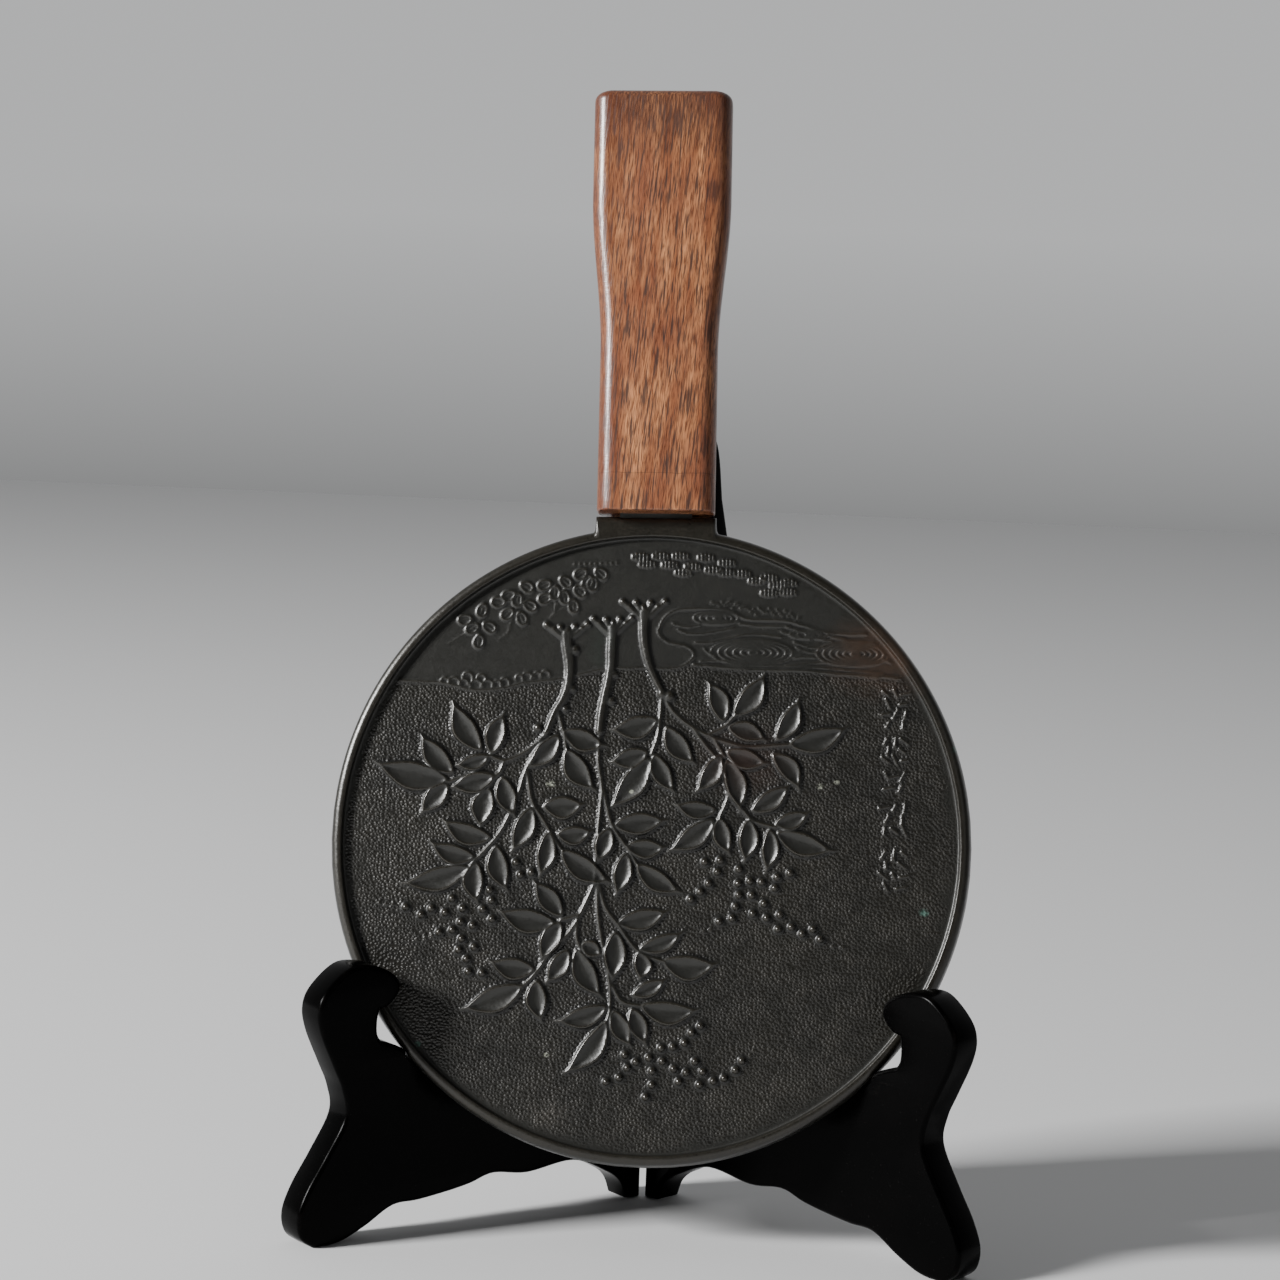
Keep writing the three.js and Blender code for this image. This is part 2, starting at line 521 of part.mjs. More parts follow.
function handleBody() {
  const widthAt = (along) => {
    const flare = THREE.MathUtils.smoothstep(along, HANDLE_FLARE_START, HANDLE_FLARE_END);
    return THREE.MathUtils.lerp(HANDLE_WIDTH, HANDLE_END_WIDTH, flare);
  };
  const rounding = HANDLE_CORNER_RADIUS;
  const end = HANDLE_LENGTH - HANDLE_END_BULGE;
  const flareSteps = Array.from({ length: 7 }, (_, i) => (
    THREE.MathUtils.lerp(HANDLE_FLARE_START, HANDLE_FLARE_END, i / 6)
  ));
  const sections = [
    [0, rounding * 0.6],
    [rounding * 0.6, 0],
    ...flareSteps.map((along) => [along, 0]),
    [end - rounding, 0],
    [end - rounding * 0.3, rounding * 0.3],
    [end, rounding],
  ];
  return loft(sections.map(([along, inset]) => handleSection(along, widthAt(along), inset)));
}

function handle() {
  return solidOf(handleBody()).subtract(solidOf(tang(FIT_GAP)));
}

// The outline of a panel, from its back edge outwards, and up from the floor. Its free curves are
// shares of its reach and height, and its hook and notch keep their place round the mirror's seat
function panelOutline() {
  const free = ([along, above]) => new THREE.Vector2(along * PANEL_REACH, above * PANEL_HEIGHT);
  const seated = ([along, above]) => new THREE.Vector2(SEAT_REACH + along, SEAT_HEIGHT + above);
  const outline = new THREE.Shape();
  outline.moveTo(PANEL_SETBACK, 0);
  outline.lineTo(0.08 * PANEL_REACH, 0);
  // the arch under the panel
  outline.splineThru([[0.099, 0.023], [0.143, 0.04], [0.242, 0.061], [0.374, 0.054], [0.471, 0.06],
    [0.536, 0.051], [0.601, 0.045], [0.68, 0.04], [0.749, 0.038], [0.818, 0.018], [0.877, 0.004],
    [0.916, 0]].map(free));
  outline.lineTo(0.958 * PANEL_REACH, 0);
  // the front foot, the waist above it and the hook over the rim
  outline.splineThru([
    ...[[0.991, 0.014], [1, 0.04], [0.977, 0.072], [0.932, 0.11], [0.883, 0.157], [0.891, 0.191],
      [0.916, 0.221]].map(free),
    ...[[25.6, 10.2], [26.6, 15.7], [24.6, 20.3], [18.5, 25.1], [12.5, 25.2], [7.2, 23.1], [4.9, 20.3],
      [5.6, 17.5], [8, 15.3], [10.2, 14.7]].map(seated),
  ]);
  // the wall and the sloping floor of the notch
  outline.splineThru([[10.7, 12.2], [10.6, 9.1], [9.6, 7.3]].map(seated));
  outline.splineThru([[6.5, 6.3], [3.5, 4.9], [0.8, 2.5], [-1.4, 0.4]].map(seated));
  // the sweep up behind the mirror
  outline.splineThru([[0.606, 0.269], [0.532, 0.33], [0.466, 0.415], [0.419, 0.505], [0.38, 0.6],
    [0.366, 0.665], [0.2985, 0.735], [0.225, 0.79], [0.1655, 0.84]].map(free));
  // the upright and its rounded head
  const head = PANEL_SETBACK + UPRIGHT_WIDTH;
  outline.lineTo(head, 0.916 * PANEL_HEIGHT);
  outline.lineTo(head - 0.1 * UPRIGHT_WIDTH, 0.955 * PANEL_HEIGHT);
  outline.bezierCurveTo(
    head - 0.2 * UPRIGHT_WIDTH, 0.99 * PANEL_HEIGHT,
    head - 0.35 * UPRIGHT_WIDTH, PANEL_HEIGHT,
    head - 0.55 * UPRIGHT_WIDTH, PANEL_HEIGHT,
  );
  outline.quadraticCurveTo(PANEL_SETBACK, PANEL_HEIGHT, PANEL_SETBACK, 0.975 * PANEL_HEIGHT);
  outline.closePath();
  return outline;
}

// One barrel of the hinge with the web that ties it to its panel
function knuckle(bottom) {
  const barrel = new THREE.CylinderGeometry(KNUCKLE_RADIUS, KNUCKLE_RADIUS, KNUCKLE_LENGTH, PIN_SEGMENTS);
  const web = new THREE.BoxGeometry(PANEL_SETBACK + 1, KNUCKLE_LENGTH, KNUCKLE_RADIUS * 1.6);
  barrel.translate(0, bottom + KNUCKLE_LENGTH / 2, 0);
  web.translate((PANEL_SETBACK + 1) / 2, bottom + KNUCKLE_LENGTH / 2, 0);
  return solidOf(barrel).add(solidOf(web));
}

// The space the mirror and its handle need, with the gap all round
function mirrorSpace() {
  const radius = DISC_RADIUS + FIT_GAP;
  const [back, front] = [-FIT_GAP, RIM_THICKNESS + FIT_GAP];
  const profile = [[0, back], [radius, back], [radius, front], [0, front]];
  const disc = new THREE.LatheGeometry(profile.map(([r, h]) => new THREE.Vector2(r, h)), DISC_SEGMENTS);
  const thickness = HANDLE_PROUD_BACK + RIM_THICKNESS + HANDLE_PROUD_FRONT;
  const grip = new THREE.BoxGeometry(
    HANDLE_END_WIDTH + 2 * FIT_GAP,
    HANDLE_LENGTH + NECK_SHOWING + 2 * FIT_GAP,
    thickness + 2 * FIT_GAP,
  );
  grip.translate(0, DISC_RADIUS + (NECK_SHOWING + HANDLE_LENGTH) / 2, thickness / 2 - HANDLE_PROUD_BACK);
  return [disc.rotateX(Math.PI / 2), grip];
}

// Where the middle of the mirror's reflecting back is: its rim rests on the inner edges of both panels
function mirrorPlace() {
  const [lean, spread] = [degrees(MIRROR_LEAN), degrees(PANEL_ANGLE)];
  const sideways = SEAT_REACH * Math.cos(spread) - (PANEL_THICKNESS / 2) * Math.sin(spread);
  const forward = SEAT_REACH * Math.sin(spread) + (PANEL_THICKNESS / 2) * Math.cos(spread);
  const drop = Math.sqrt(DISC_RADIUS ** 2 - sideways ** 2);
  return new THREE.Vector3(
    0,
    -forward + drop * Math.sin(lean) + (RIM_THICKNESS / 2) * Math.cos(lean),
    SEAT_HEIGHT + FIT_GAP + drop * Math.cos(lean) - (RIM_THICKNESS / 2) * Math.sin(lean),
  );
}

// A group that stands the mirror upright, leans it back and turns it a little in its cradle
function cradle() {
  const leaning = new THREE.Group();
  leaning.position.copy(mirrorPlace());
  leaning.rotation.x = degrees(90 - MIRROR_LEAN);
  const turned = new THREE.Group();
  turned.rotation.z = degrees(MIRROR_TURN);
  leaning.add(turned);
  leaning.updateMatrixWorld(true);
  return { leaning, turned };
}

function named(name, geometry, colour, roughness, metalness) {
  const material = new THREE.MeshStandardMaterial({ color: colour, roughness, metalness });
  const mesh = new THREE.Mesh(geometry, material);
  mesh.name = name;
  return mesh;
}

// A panel in its own plane, cut clear of the mirror and bored for the pin
function panel(name, turn, knuckles, spaces, spacesMatrix) {
  const sheet = new THREE.ExtrudeGeometry(panelOutline(), {
    depth: PANEL_THICKNESS - 2 * PANEL_EDGE_ROUNDING,
    bevelThickness: PANEL_EDGE_ROUNDING,
    bevelSize: PANEL_EDGE_ROUNDING,
    bevelOffset: -PANEL_EDGE_ROUNDING,
    bevelSegments: 1,
    curveSegments: 2,
  });
  sheet.translate(0, 0, PANEL_EDGE_ROUNDING - PANEL_THICKNESS / 2);
  const upright = new THREE.Group();
  upright.rotation.z = turn;
  const standing = new THREE.Group();
  standing.rotation.x = Math.PI / 2;
  upright.add(standing);
  upright.updateMatrixWorld(true);
  const intoPanel = standing.matrixWorld.clone().invert().multiply(spacesMatrix);
  const boreRadius = PIN_RADIUS + FIT_GAP;
  const bore = new THREE.CylinderGeometry(boreRadius, boreRadius, 2 * PANEL_HEIGHT, PIN_SEGMENTS);
  let solid = knuckles.reduce((whole, bottom) => whole.add(knuckle(bottom)), solidOf(sheet));
  solid = solid.subtract(solidOf(bore));
  spaces.forEach((space) => {
    solid = solid.subtract(solidOf(space.clone().applyMatrix4(intoPanel)));
  });
  standing.add(named(name, geometryOf(solid), 0x0b0a0a, 0.25, 0));
  return upright;
}

function hingePin() {
  const bottom = LOWER_KNUCKLE_HEIGHT - PIN_OVERHANG;
  const top = UPPER_KNUCKLE_HEIGHT + 2 * KNUCKLE_LENGTH + FIT_GAP + PIN_OVERHANG;
  const rod = new THREE.CylinderGeometry(PIN_RADIUS, PIN_RADIUS, top - bottom, PIN_SEGMENTS);
  rod.rotateX(Math.PI / 2).translate(0, 0, (top + bottom) / 2);
  return named('hinge_pin', rod, 0x8a7a55, 0.4, 1);
}

function build() {
  const { leaning, turned } = cradle();
  turned.add(named('mirror', geometryOf(mirror()), 0x3a3733, 0.45, 0.85));
  turned.add(named('handle', geometryOf(handle()), 0x6b2f1a, 0.35, 0));
  const upper = KNUCKLE_LENGTH + FIT_GAP;
  const leftKnuckles = [LOWER_KNUCKLE_HEIGHT, UPPER_KNUCKLE_HEIGHT];
  const rightKnuckles = leftKnuckles.map((height) => height + upper);
  const spread = degrees(PANEL_ANGLE);
  const spaces = mirrorSpace();
  const standing = new THREE.Group();
  standing.add(leaning);
  standing.add(panel('stand_left', Math.PI + spread, leftKnuckles, spaces, turned.matrixWorld));
  standing.add(panel('stand_right', -spread, rightKnuckles, spaces, turned.matrixWorld));
  standing.add(hingePin());
  const box = new THREE.Box3().setFromObject(standing, true);
  const centre = box.getCenter(new THREE.Vector3());
  standing.position.set(-centre.x, -centre.y, -box.min.z);
  const whole = new THREE.Group();
  whole.add(standing);
  whole.updateMatrixWorld(true);
  return whole;
}

export default build();
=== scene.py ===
# A cast bronze hand mirror leaning in a folding lacquered stand.
# Sizes are in millimetres until the meshes are made.
import math

import bmesh
import bpy
import numpy as np
from mathutils import Matrix, Vector


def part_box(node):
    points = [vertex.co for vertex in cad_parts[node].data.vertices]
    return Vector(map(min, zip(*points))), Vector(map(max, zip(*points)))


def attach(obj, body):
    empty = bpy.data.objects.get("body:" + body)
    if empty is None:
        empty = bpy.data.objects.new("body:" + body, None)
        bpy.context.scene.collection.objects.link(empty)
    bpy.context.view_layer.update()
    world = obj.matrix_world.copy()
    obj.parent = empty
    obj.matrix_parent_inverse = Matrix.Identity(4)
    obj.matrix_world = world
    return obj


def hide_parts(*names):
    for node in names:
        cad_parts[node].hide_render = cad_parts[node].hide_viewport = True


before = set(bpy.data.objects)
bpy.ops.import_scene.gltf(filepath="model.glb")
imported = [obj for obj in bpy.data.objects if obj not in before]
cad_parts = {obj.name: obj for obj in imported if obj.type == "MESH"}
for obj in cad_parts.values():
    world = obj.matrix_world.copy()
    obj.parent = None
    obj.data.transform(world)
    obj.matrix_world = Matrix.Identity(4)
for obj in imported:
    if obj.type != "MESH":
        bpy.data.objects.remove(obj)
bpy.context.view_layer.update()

MM = 0.001
BOX_FACES = [(3, 2, 1, 0), (4, 5, 6, 7), (0, 1, 5, 4), (1, 2, 6, 5), (2, 3, 7, 6), (3, 0, 4, 7)]

# The casting and the handle, as in the solids
DISC_RADIUS = 75.0
RIM_THICKNESS = 4.5
RIM_WIDTH = 2.2
RIM_DRAFT = 0.6
FIELD_THICKNESS = 2.7
NECK_WIDTH = 27.4
NECK_END = 77.4
NECK_BLEND = 1.5
TANG_LENGTH = 60.0
TANG_WIDTH = 17.0
TANG_TAPER = 4.0
TANG_THICKNESS = 3.2
HANDLE_START = 77.7
HANDLE_LENGTH = 102.2
HANDLE_WIDTH = 27.8
HANDLE_END_WIDTH = 33.0
HANDLE_PROUD_FRONT = 5.0
HANDLE_PROUD_BACK = 2.3
HANDLE_EDGE_RADIUS = 4.0
HANDLE_CORNER_RADIUS = 2.0
HANDLE_END_BULGE = 1.0
HANDLE_FLARE = (39.0, 76.0)
FIT_GAP = 0.3
SLOT_START = 70.0
HANDLE_ROOM = (74.7, 181.0)

# The stand
PANEL_ANGLE = 40.0
PANEL_THICKNESS = 8.8
PANEL_HEIGHT = 188.0
PANEL_SETBACK = 4.1
UPRIGHT_WIDTH = 9.2
PANEL_ROUNDING = 1.1
PIN_RADIUS = 1.2
KNUCKLE_RADIUS = 3.6
KNUCKLE_LENGTH = 12.0
PIN_SPAN = (60.5, 153.8)
KNUCKLES = {"stand_left": (62.0, 128.0), "stand_right": (74.3, 140.3)}

# Where the mirror stands
MIRROR_LEAN = 12.5
MIRROR_TURN = 1.74
SEAT_REACH = 71.0
SEAT_HEIGHT = 39.3
PANEL_REACH = SEAT_REACH + 30.5

pin_low, pin_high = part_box("hinge_pin")
HINGE = Vector(((pin_low[0] + pin_high[0]) / 2, (pin_low[1] + pin_high[1]) / 2, 0)) / MM


def mirror_matrix():
    """From the mirror's own millimetres (across, up the plate, out of its face) to the scene's metres."""
    lean, spread = math.radians(MIRROR_LEAN), math.radians(PANEL_ANGLE)
    sideways = SEAT_REACH * math.cos(spread) - PANEL_THICKNESS / 2 * math.sin(spread)
    forward = SEAT_REACH * math.sin(spread) + PANEL_THICKNESS / 2 * math.cos(spread)
    drop = math.sqrt(DISC_RADIUS ** 2 - sideways ** 2)
    place = Vector((
        0,
        -forward + drop * math.sin(lean) + RIM_THICKNESS / 2 * math.cos(lean),
        SEAT_HEIGHT + FIT_GAP + drop * math.cos(lean) - RIM_THICKNESS / 2 * math.sin(lean),
    ))
    back = Matrix.Rotation(math.radians(90 - MIRROR_LEAN), 4, "X")
    turn = Matrix.Rotation(math.radians(MIRROR_TURN), 4, "Z")
    return Matrix.Scale(MM, 4) @ Matrix.Translation(HINGE + place) @ back @ turn


MIRROR = mirror_matrix()

# The carving's layout
LEAVES = [
    (-47.6, 14.0, -65.1, 18.1, 6.1, 1.1), (-46.4, 15.7, -54.4, 24.9, 4.7, 0.8),
    (-39.9, 21.1, -47.1, 32.9, 5.1, 1.0), (-37.6, 20.3, -34.6, 30.3, 4.4, 0.5),
    (-37.9, 19.9, -46.3, 17.6, 3.4, 0.7), (-36.7, 15.3, -47.3, 12.4, 4.5, 0.6),
    (-47.6, 13.1, -54.0, 5.9, 4.4, 0.0), (-37.8, 12.2, -39.6, 2.6, 5.0, -0.7),
    (-35.0, 15.0, -31.4, 5.3, 4.5, -0.5),
    (-37.0, 0.6, -48.9, 5.0, 4.6, 1.4), (-40.7, -4.0, -51.7, -0.3, 4.2, 1.2),
    (-42.1, -6.3, -58.1, -10.3, 5.1, 1.2), (-40.4, -5.1, -39.7, -14.9, 4.6, -1.0),
    (-36.0, -1.1, -32.7, -12.0, 4.7, -0.9),
    (-21.7, 25.1, -29.3, 16.9, 4.4, 0.7), (-20.6, 26.0, -10.3, 22.7, 4.8, -0.8),
    (-20.0, 21.7, -12.6, 12.0, 5.2, -1.0), (-27.7, 8.0, -32.4, -2.7, 4.6, 0.6),
    (-25.0, 8.3, -15.1, 9.1, 5.0, -0.8), (-21.7, 1.7, -13.0, 3.0, 4.1, -0.9),
    (-23.7, 2.3, -25.7, -8.6, 4.1, 0.7), (-20.6, -2.0, -8.3, -9.4, 5.0, -1.0),
    (1.4, 29.0, -9.9, 26.6, 5.1, 1.0), (-0.7, 21.3, -9.9, 18.9, 4.4, 0.5),
    (-0.3, 20.0, -9.7, 7.9, 5.3, 0.9), (0.6, 20.9, 5.9, 11.7, 4.2, -0.6),
    (3.3, 27.3, 10.7, 18.6, 4.8, -0.8), (-8.3, 4.1, 4.3, 5.6, 4.7, -0.3),
    (-5.3, -0.7, 4.4, -0.6, 4.2, -0.8), (-9.3, 3.4, -12.1, -4.9, 4.1, 0.0),
    (-5.3, -2.3, -7.7, -12.6, 4.1, 0.4), (-2.9, -5.0, 8.1, -11.4, 4.5, -0.9),
    (16.9, 28.7, 12.7, 38.4, 4.4, -0.9), (19.3, 30.3, 26.4, 40.6, 5.0, -1.0),
    (17.9, 27.6, 27.3, 24.3, 4.2, 0.5), (29.3, 24.6, 34.4, 34.9, 4.3, -1.0),
    (32.3, 23.6, 46.1, 28.3, 5.2, -1.2), (17.6, 21.8, 27.7, 19.1, 4.3, -0.6),
    (28.4, 21.4, 34.9, 12.6, 4.3, 1.2), (16.3, 21.1, 10.4, 12.0, 4.3, 0.9),
    (17.6, 19.7, 21.0, 7.3, 4.7, 0.9),
    (23.8, 7.9, 32.9, 14.6, 4.2, -0.6), (29.2, 4.9, 37.5, 8.2, 3.8, -0.7),
    (29.6, 3.1, 43.4, -1.0, 4.9, -1.0), (28.1, 3.9, 27.1, -6.6, 3.8, 0.7),
    (23.1, 6.0, 22.1, -4.3, 4.4, 0.6), (16.3, 6.3, 19.0, -2.6, 4.0, -0.6),
    (15.0, 5.9, 4.3, -1.7, 4.8, 0.9), (15.6, 8.0, 5.4, 9.4, 3.9, 0.8),
    (-20.0, -17.3, -27.0, -9.1, 4.5, 0.0), (-21.7, -18.9, -35.3, -16.1, 5.2, 1.1),
    (-20.3, -18.6, -24.9, -28.0, 4.4, -0.2), (-26.1, -29.9, -37.1, -28.0, 4.7, 0.8),
    (-28.9, -33.7, -43.2, -39.3, 5.4, 0.8), (-25.7, -32.3, -24.1, -42.1, 4.6, -0.6),
    (-18.3, -25.1, -23.6, -33.0, 4.2, 0.4), (-15.3, -23.6, -10.3, -26.3, 3.5, 0.0),
    (-7.4, -20.7, -8.1, -32.6, 4.9, 0.3), (-6.9, -18.7, 5.0, -15.4, 4.6, -0.7),
    (-1.9, -24.7, 8.6, -20.1, 3.7, -0.9), (3.7, -27.3, 16.7, -27.4, 5.4, -1.6),
    (-2.1, -25.4, -1.9, -32.1, 4.0, 1.2), (-16.6, -25.0, -10.0, -36.2, 5.0, -1.0),
    (-3.3, -35.4, 4.9, -31.1, 3.4, -0.5), (-1.3, -37.7, 12.7, -38.0, 5.0, -1.6),
    (-3.4, -38.3, 0.3, -47.1, 4.0, 0.0), (-7.7, -38.9, -3.1, -47.4, 4.1, -0.4),
    (-9.0, -38.0, -21.1, -41.6, 4.5, 1.1), (-9.1, -41.4, -19.0, -53.7, 4.8, 1.6),
]

BERRIES = [
    (-56.7, -15.9), (-53.0, -17.6), (-50.7, -16.1), (-47.4, -17.0), (-45.9, -13.7), (-43.3, -16.0),
    (-37.1, -11.6), (-36.6, -14.0), (-38.6, -16.1), (-36.4, -18.3), (-43.7, -19.1), (-40.9, -19.9),
    (-48.7, -21.6), (-45.6, -21.0), (-43.4, -23.0), (-40.4, -24.9), (-44.0, -25.6), (-42.1, -27.7),
    (-41.6, -30.6), (-38.4, -30.9), (-31.1, -5.0), (-30.0, -7.9), (-27.4, -7.3),
    (13.0, -4.1), (16.6, -3.7), (16.0, -6.4), (14.0, -9.1), (12.1, -11.1), (9.9, -12.9), (21.0, -5.7),
    (20.9, -9.0), (23.6, -8.4), (26.3, -8.6), (29.9, -7.4), (32.9, -6.4), (29.4, -9.9), (21.1, -11.7),
    (24.1, -11.7), (27.0, -13.6), (20.4, -14.4), (24.4, -15.9), (27.6, -16.9), (30.7, -16.1),
    (19.6, -17.1), (16.6, -17.9), (30.3, -19.4), (33.4, -18.9), (35.9, -20.4), (38.4, -19.3),
    (40.1, -21.6),
    (-4.7, -49.1), (-2.1, -50.7), (-4.1, -52.1), (-5.9, -54.4), (-8.9, -55.4), (0.9, -49.7),
    (3.7, -47.4), (6.4, -47.1), (9.1, -46.1), (10.7, -43.7), (12.7, -42.1), (4.0, -50.4),
    (1.7, -52.7), (1.7, -55.9), (0.3, -58.7), (6.7, -52.1), (9.6, -52.9), (7.9, -55.0),
    (11.6, -50.3), (13.4, -52.6), (12.7, -55.6), (15.9, -54.7), (18.4, -54.0), (21.0, -52.1),
    (22.4, -49.9),
]

TRUNKS = [
    ([(-20.4, 49), (-20.2, 46), (-19.6, 42), (-19.7, 38), (-20.8, 34), (-22.8, 30.5), (-24.8, 25.6)],
     3.1, 1.6),
    ([(-9.6, 50.5), (-9.8, 46), (-9.9, 41), (-10.8, 36), (-11.8, 31), (-12.3, 26)], 2.7, 2.0),
    ([(-2.2, 54.4), (-2.3, 50), (-1.9, 46), (-0.9, 42), (0.8, 38.2), (2.6, 35)], 2.8, 1.6),
]

# The crowns of the trunks: where each one's arms start, and where they end
CROWNS = [
    ((-20.4, 47.4), [(-25.2, 51.0), (-23.6, 50.2), (-22.0, 50.5), (-20.2, 50.0), (-18.6, 50.7), (-17.0, 50.4),
                     (-15.6, 51.4)]),
    ((-9.8, 48.6), [(-14.2, 52.6), (-12.8, 51.6), (-11.2, 52.4), (-9.6, 51.8), (-8.0, 52.6), (-6.6, 51.8),
                    (-5.2, 53.0)]),
    ((-2.3, 52.4), [(-7.4, 56.8), (-5.8, 55.6), (-4.2, 56.6), (-2.6, 55.6), (-0.8, 56.6), (0.8, 55.8),
                    (2.6, 57.0)]),
]

KNOBS = [
    (-18.5, 45.2, 1.2), (-18.8, 36.0, 0.9), (-20.4, 31.2, 0.9), (-26.7, 26.6, 1.1), (-9.1, 39.6, 1.0),
    (-9.7, 33.3, 1.0), (4.0, 34.6, 1.3), (2.2, 35.2, 1.2),
]

STEMS = [
    [(-25, 25), (-29.3, 21.2), (-34.3, 18.9), (-38, 20)],
    [(-34.3, 18.9), (-36.4, 15.2), (-41.5, 15.6), (-47.6, 13.6)],
    [(-36.2, 15.5), (-37.4, 13.6), (-38, 12)],
    [(-25.2, 25.2), (-29.2, 17), (-31, 11), (-33.6, 4.8), (-36.3, 0.3), (-42, -6)],
    [(-29, 16.3), (-27.7, 9.5), (-24.9, 4.9), (-20.2, -2.4)],
    [(-22, 30.5), (-20.8, 26), (-19.8, 21.3)],
    [(-12.2, 26), (-12.3, 19), (-11.4, 13), (-11.8, 6), (-12.4, -2), (-12.6, -10)],
    [(-10.9, 12), (-10, 8), (-8.6, 3.7), (-5.3, -1), (-2.5, -5.5)],
    [(-12.7, -9.7), (-15, -15), (-18, -20.6), (-22.4, -25.6), (-26.2, -31), (-29, -33.8)],
    [(-16.1, -17), (-20.4, -18.2)],
    [(-16.4, -18), (-16.5, -22), (-14.8, -27)],
    [(-12, -10), (-11.6, -17), (-10.4, -24), (-8.6, -33), (-8.4, -38.4), (-9.2, -42)],
    [(-11.6, -9.8), (-10, -15), (-7, -19), (-2.2, -25), (3.7, -27.4)],
    [(-8, -33.2), (-5.6, -36.8), (-1.6, -37.7)],
    [(2.2, 34), (1.9, 29.5), (1.4, 25), (0, 20.8)],
    [(2.6, 34.6), (5, 31), (9, 27.7), (15, 24.8), (22, 23), (29, 23.4), (33, 23.7)],
    [(13.4, 25.7), (16.9, 27.5), (19.6, 30.4)],
    [(9.4, 27.5), (12.6, 23.3), (16.4, 18.5), (18.2, 12), (16.3, 6.2)],
    [(14.6, 24.8), (17.2, 20.6)],
    [(18, 12), (21.6, 8.2), (24.4, 5.6), (29.5, 4.2)],
]

HORIZON = [(-61, 37.4), (-50, 37), (-42, 35.4), (-35, 36), (-30, 37.3), (-21.5, 38.4), (-12, 40.7),
           (-3.5, 41.3), (0.5, 41.2), (5.5, 41.4), (8, 42.4), (9.6, 44.3), (8.8, 45.8), (7, 46.7),
           (3.6, 47.3), (1.5, 48.7)]
UPPER_BANK = [(1.5, 48.7), (1.2, 50.2), (2.4, 53), (5, 54.9), (8.6, 55.4), (15, 55.4), (18.4, 54.8),
              (22, 53.1), (30, 52.9), (35, 51.8), (40, 50.3), (46, 49.8), (51, 50)]
LOWER_BANK = [(9.4, 42.2), (18, 41.4), (28, 41.1), (35, 41.1), (45, 40.3), (53, 40), (58, 39.5)]
WATER_LINES = [
    [(39, 40.9), (46, 40.2), (53, 39.4)], [(31, 51.4), (37, 50), (45, 48.8)],
    [(30, 50.2), (36, 48.9), (42, 48.2)],
    [(42, 48.9), (49, 47.9), (54, 48.2)], [(31, 42.2), (36, 42.8), (41, 43.2)],
    [(11, 42.9), (15, 43.2), (18, 43.2)],
    [(12, 42.2), (20, 41.9), (29, 42), (38, 41.9), (46, 41.3), (54, 40.6)],
    [(33, 47.8), (37, 46.6), (40, 46.6)], [(33.5, 46.6), (36.5, 45.5), (38.5, 45.4)],
    [(33, 44), (36, 44.4), (38, 44.2)],
    [(9.8, 47.4), (13, 47.4), (17, 48.4), (23, 49.6), (30, 49)],
    [(5.6, 50.4), (8.4, 49.5), (12.4, 49.7), (19, 51)],
    [(4.4, 51.8), (7.4, 51.1), (11, 51.6)], [(20, 52), (26, 51.5), (32, 51.7)],
    [(12, 45.9), (13.5, 44.6), (14.6, 44.4)],
    [(54, 44), (56, 43.2), (58, 43)], [(53, 46.6), (55, 47.6), (57.4, 46.6)],
]
# Middle, half width, half height and number of rings
WHIRLS = [(23.2, 45.2, 9.6, 3.1, 6), (47.0, 45.2, 8.6, 2.9, 6), (14.6, 53.2, 5.2, 1.5, 4),
          (36.5, 49.6, 4.6, 1.0, 3)]
RIPPLES = [(33.6, 45.4, 3), (56.2, 45.2, 3)]

ROUND_LEAVES = [
    (-41.2, 46.9, 80), (-38.8, 50.3, 150), (-42.8, 50.0, 30), (-40.6, 54.3, 70), (-44.6, 52.0, 10),
    (-32.3, 56.9, 80), (-31.2, 52.5, 115), (-29.3, 55.5, 150), (-30.2, 60.0, 150), (-34.6, 53.5, 40),
    (-34.4, 57.9, 20), (-36.8, 56.3, 0), (-26.0, 60.5, 20), (-23.5, 58.7, 80), (-21.0, 61.3, 140),
    (-21.2, 57.7, 100), (-19.0, 55.6, 100), (-25.8, 57.3, 20), (-17.6, 59.1, 140), (-17.5, 63.3, 30),
    (-14.6, 60.9, 80), (-12.7, 63.4, 140), (-15.8, 61.3, 60),
]
ROUND_STEMS = [
    [(-41.2, 46.9), (-42.4, 49.8), (-44.6, 48.6), (-48.6, 46)], [(-40.7, 53), (-41.4, 50.6), (-41.4, 47.6)],
    [(-32.3, 56), (-33, 53.6), (-33.8, 51.4), (-34.4, 49), (-36.6, 47.3)],
    [(-30.4, 59), (-31.8, 56.4), (-32.8, 53.4)],
    [(-23.5, 58.7), (-23.3, 54.9), (-24.5, 52.6)], [(-20.8, 60.4), (-22.0, 57.6), (-23.4, 55.2)],
    [(-19.2, 56), (-21.4, 55), (-23.6, 53.6)], [(-15.4, 62.4), (-16.6, 60.6), (-17.8, 58.6)],
]
MOSS_FANS = [
    (-3.5, 67.5), (-1.8, 65.8), (1.3, 67.7), (3.5, 65.7), (6.0, 67.8), (6.7, 63.9), (8.9, 65.3), (12.0, 67.5),
    (13.8, 64.6), (17.0, 66.3), (17.0, 64.0), (20.7, 63.8), (24.0, 62.2), (27.0, 62.9), (29.0, 61.2),
    (31.6, 61.8), (27.0, 59.3), (31.4, 59.6),
]
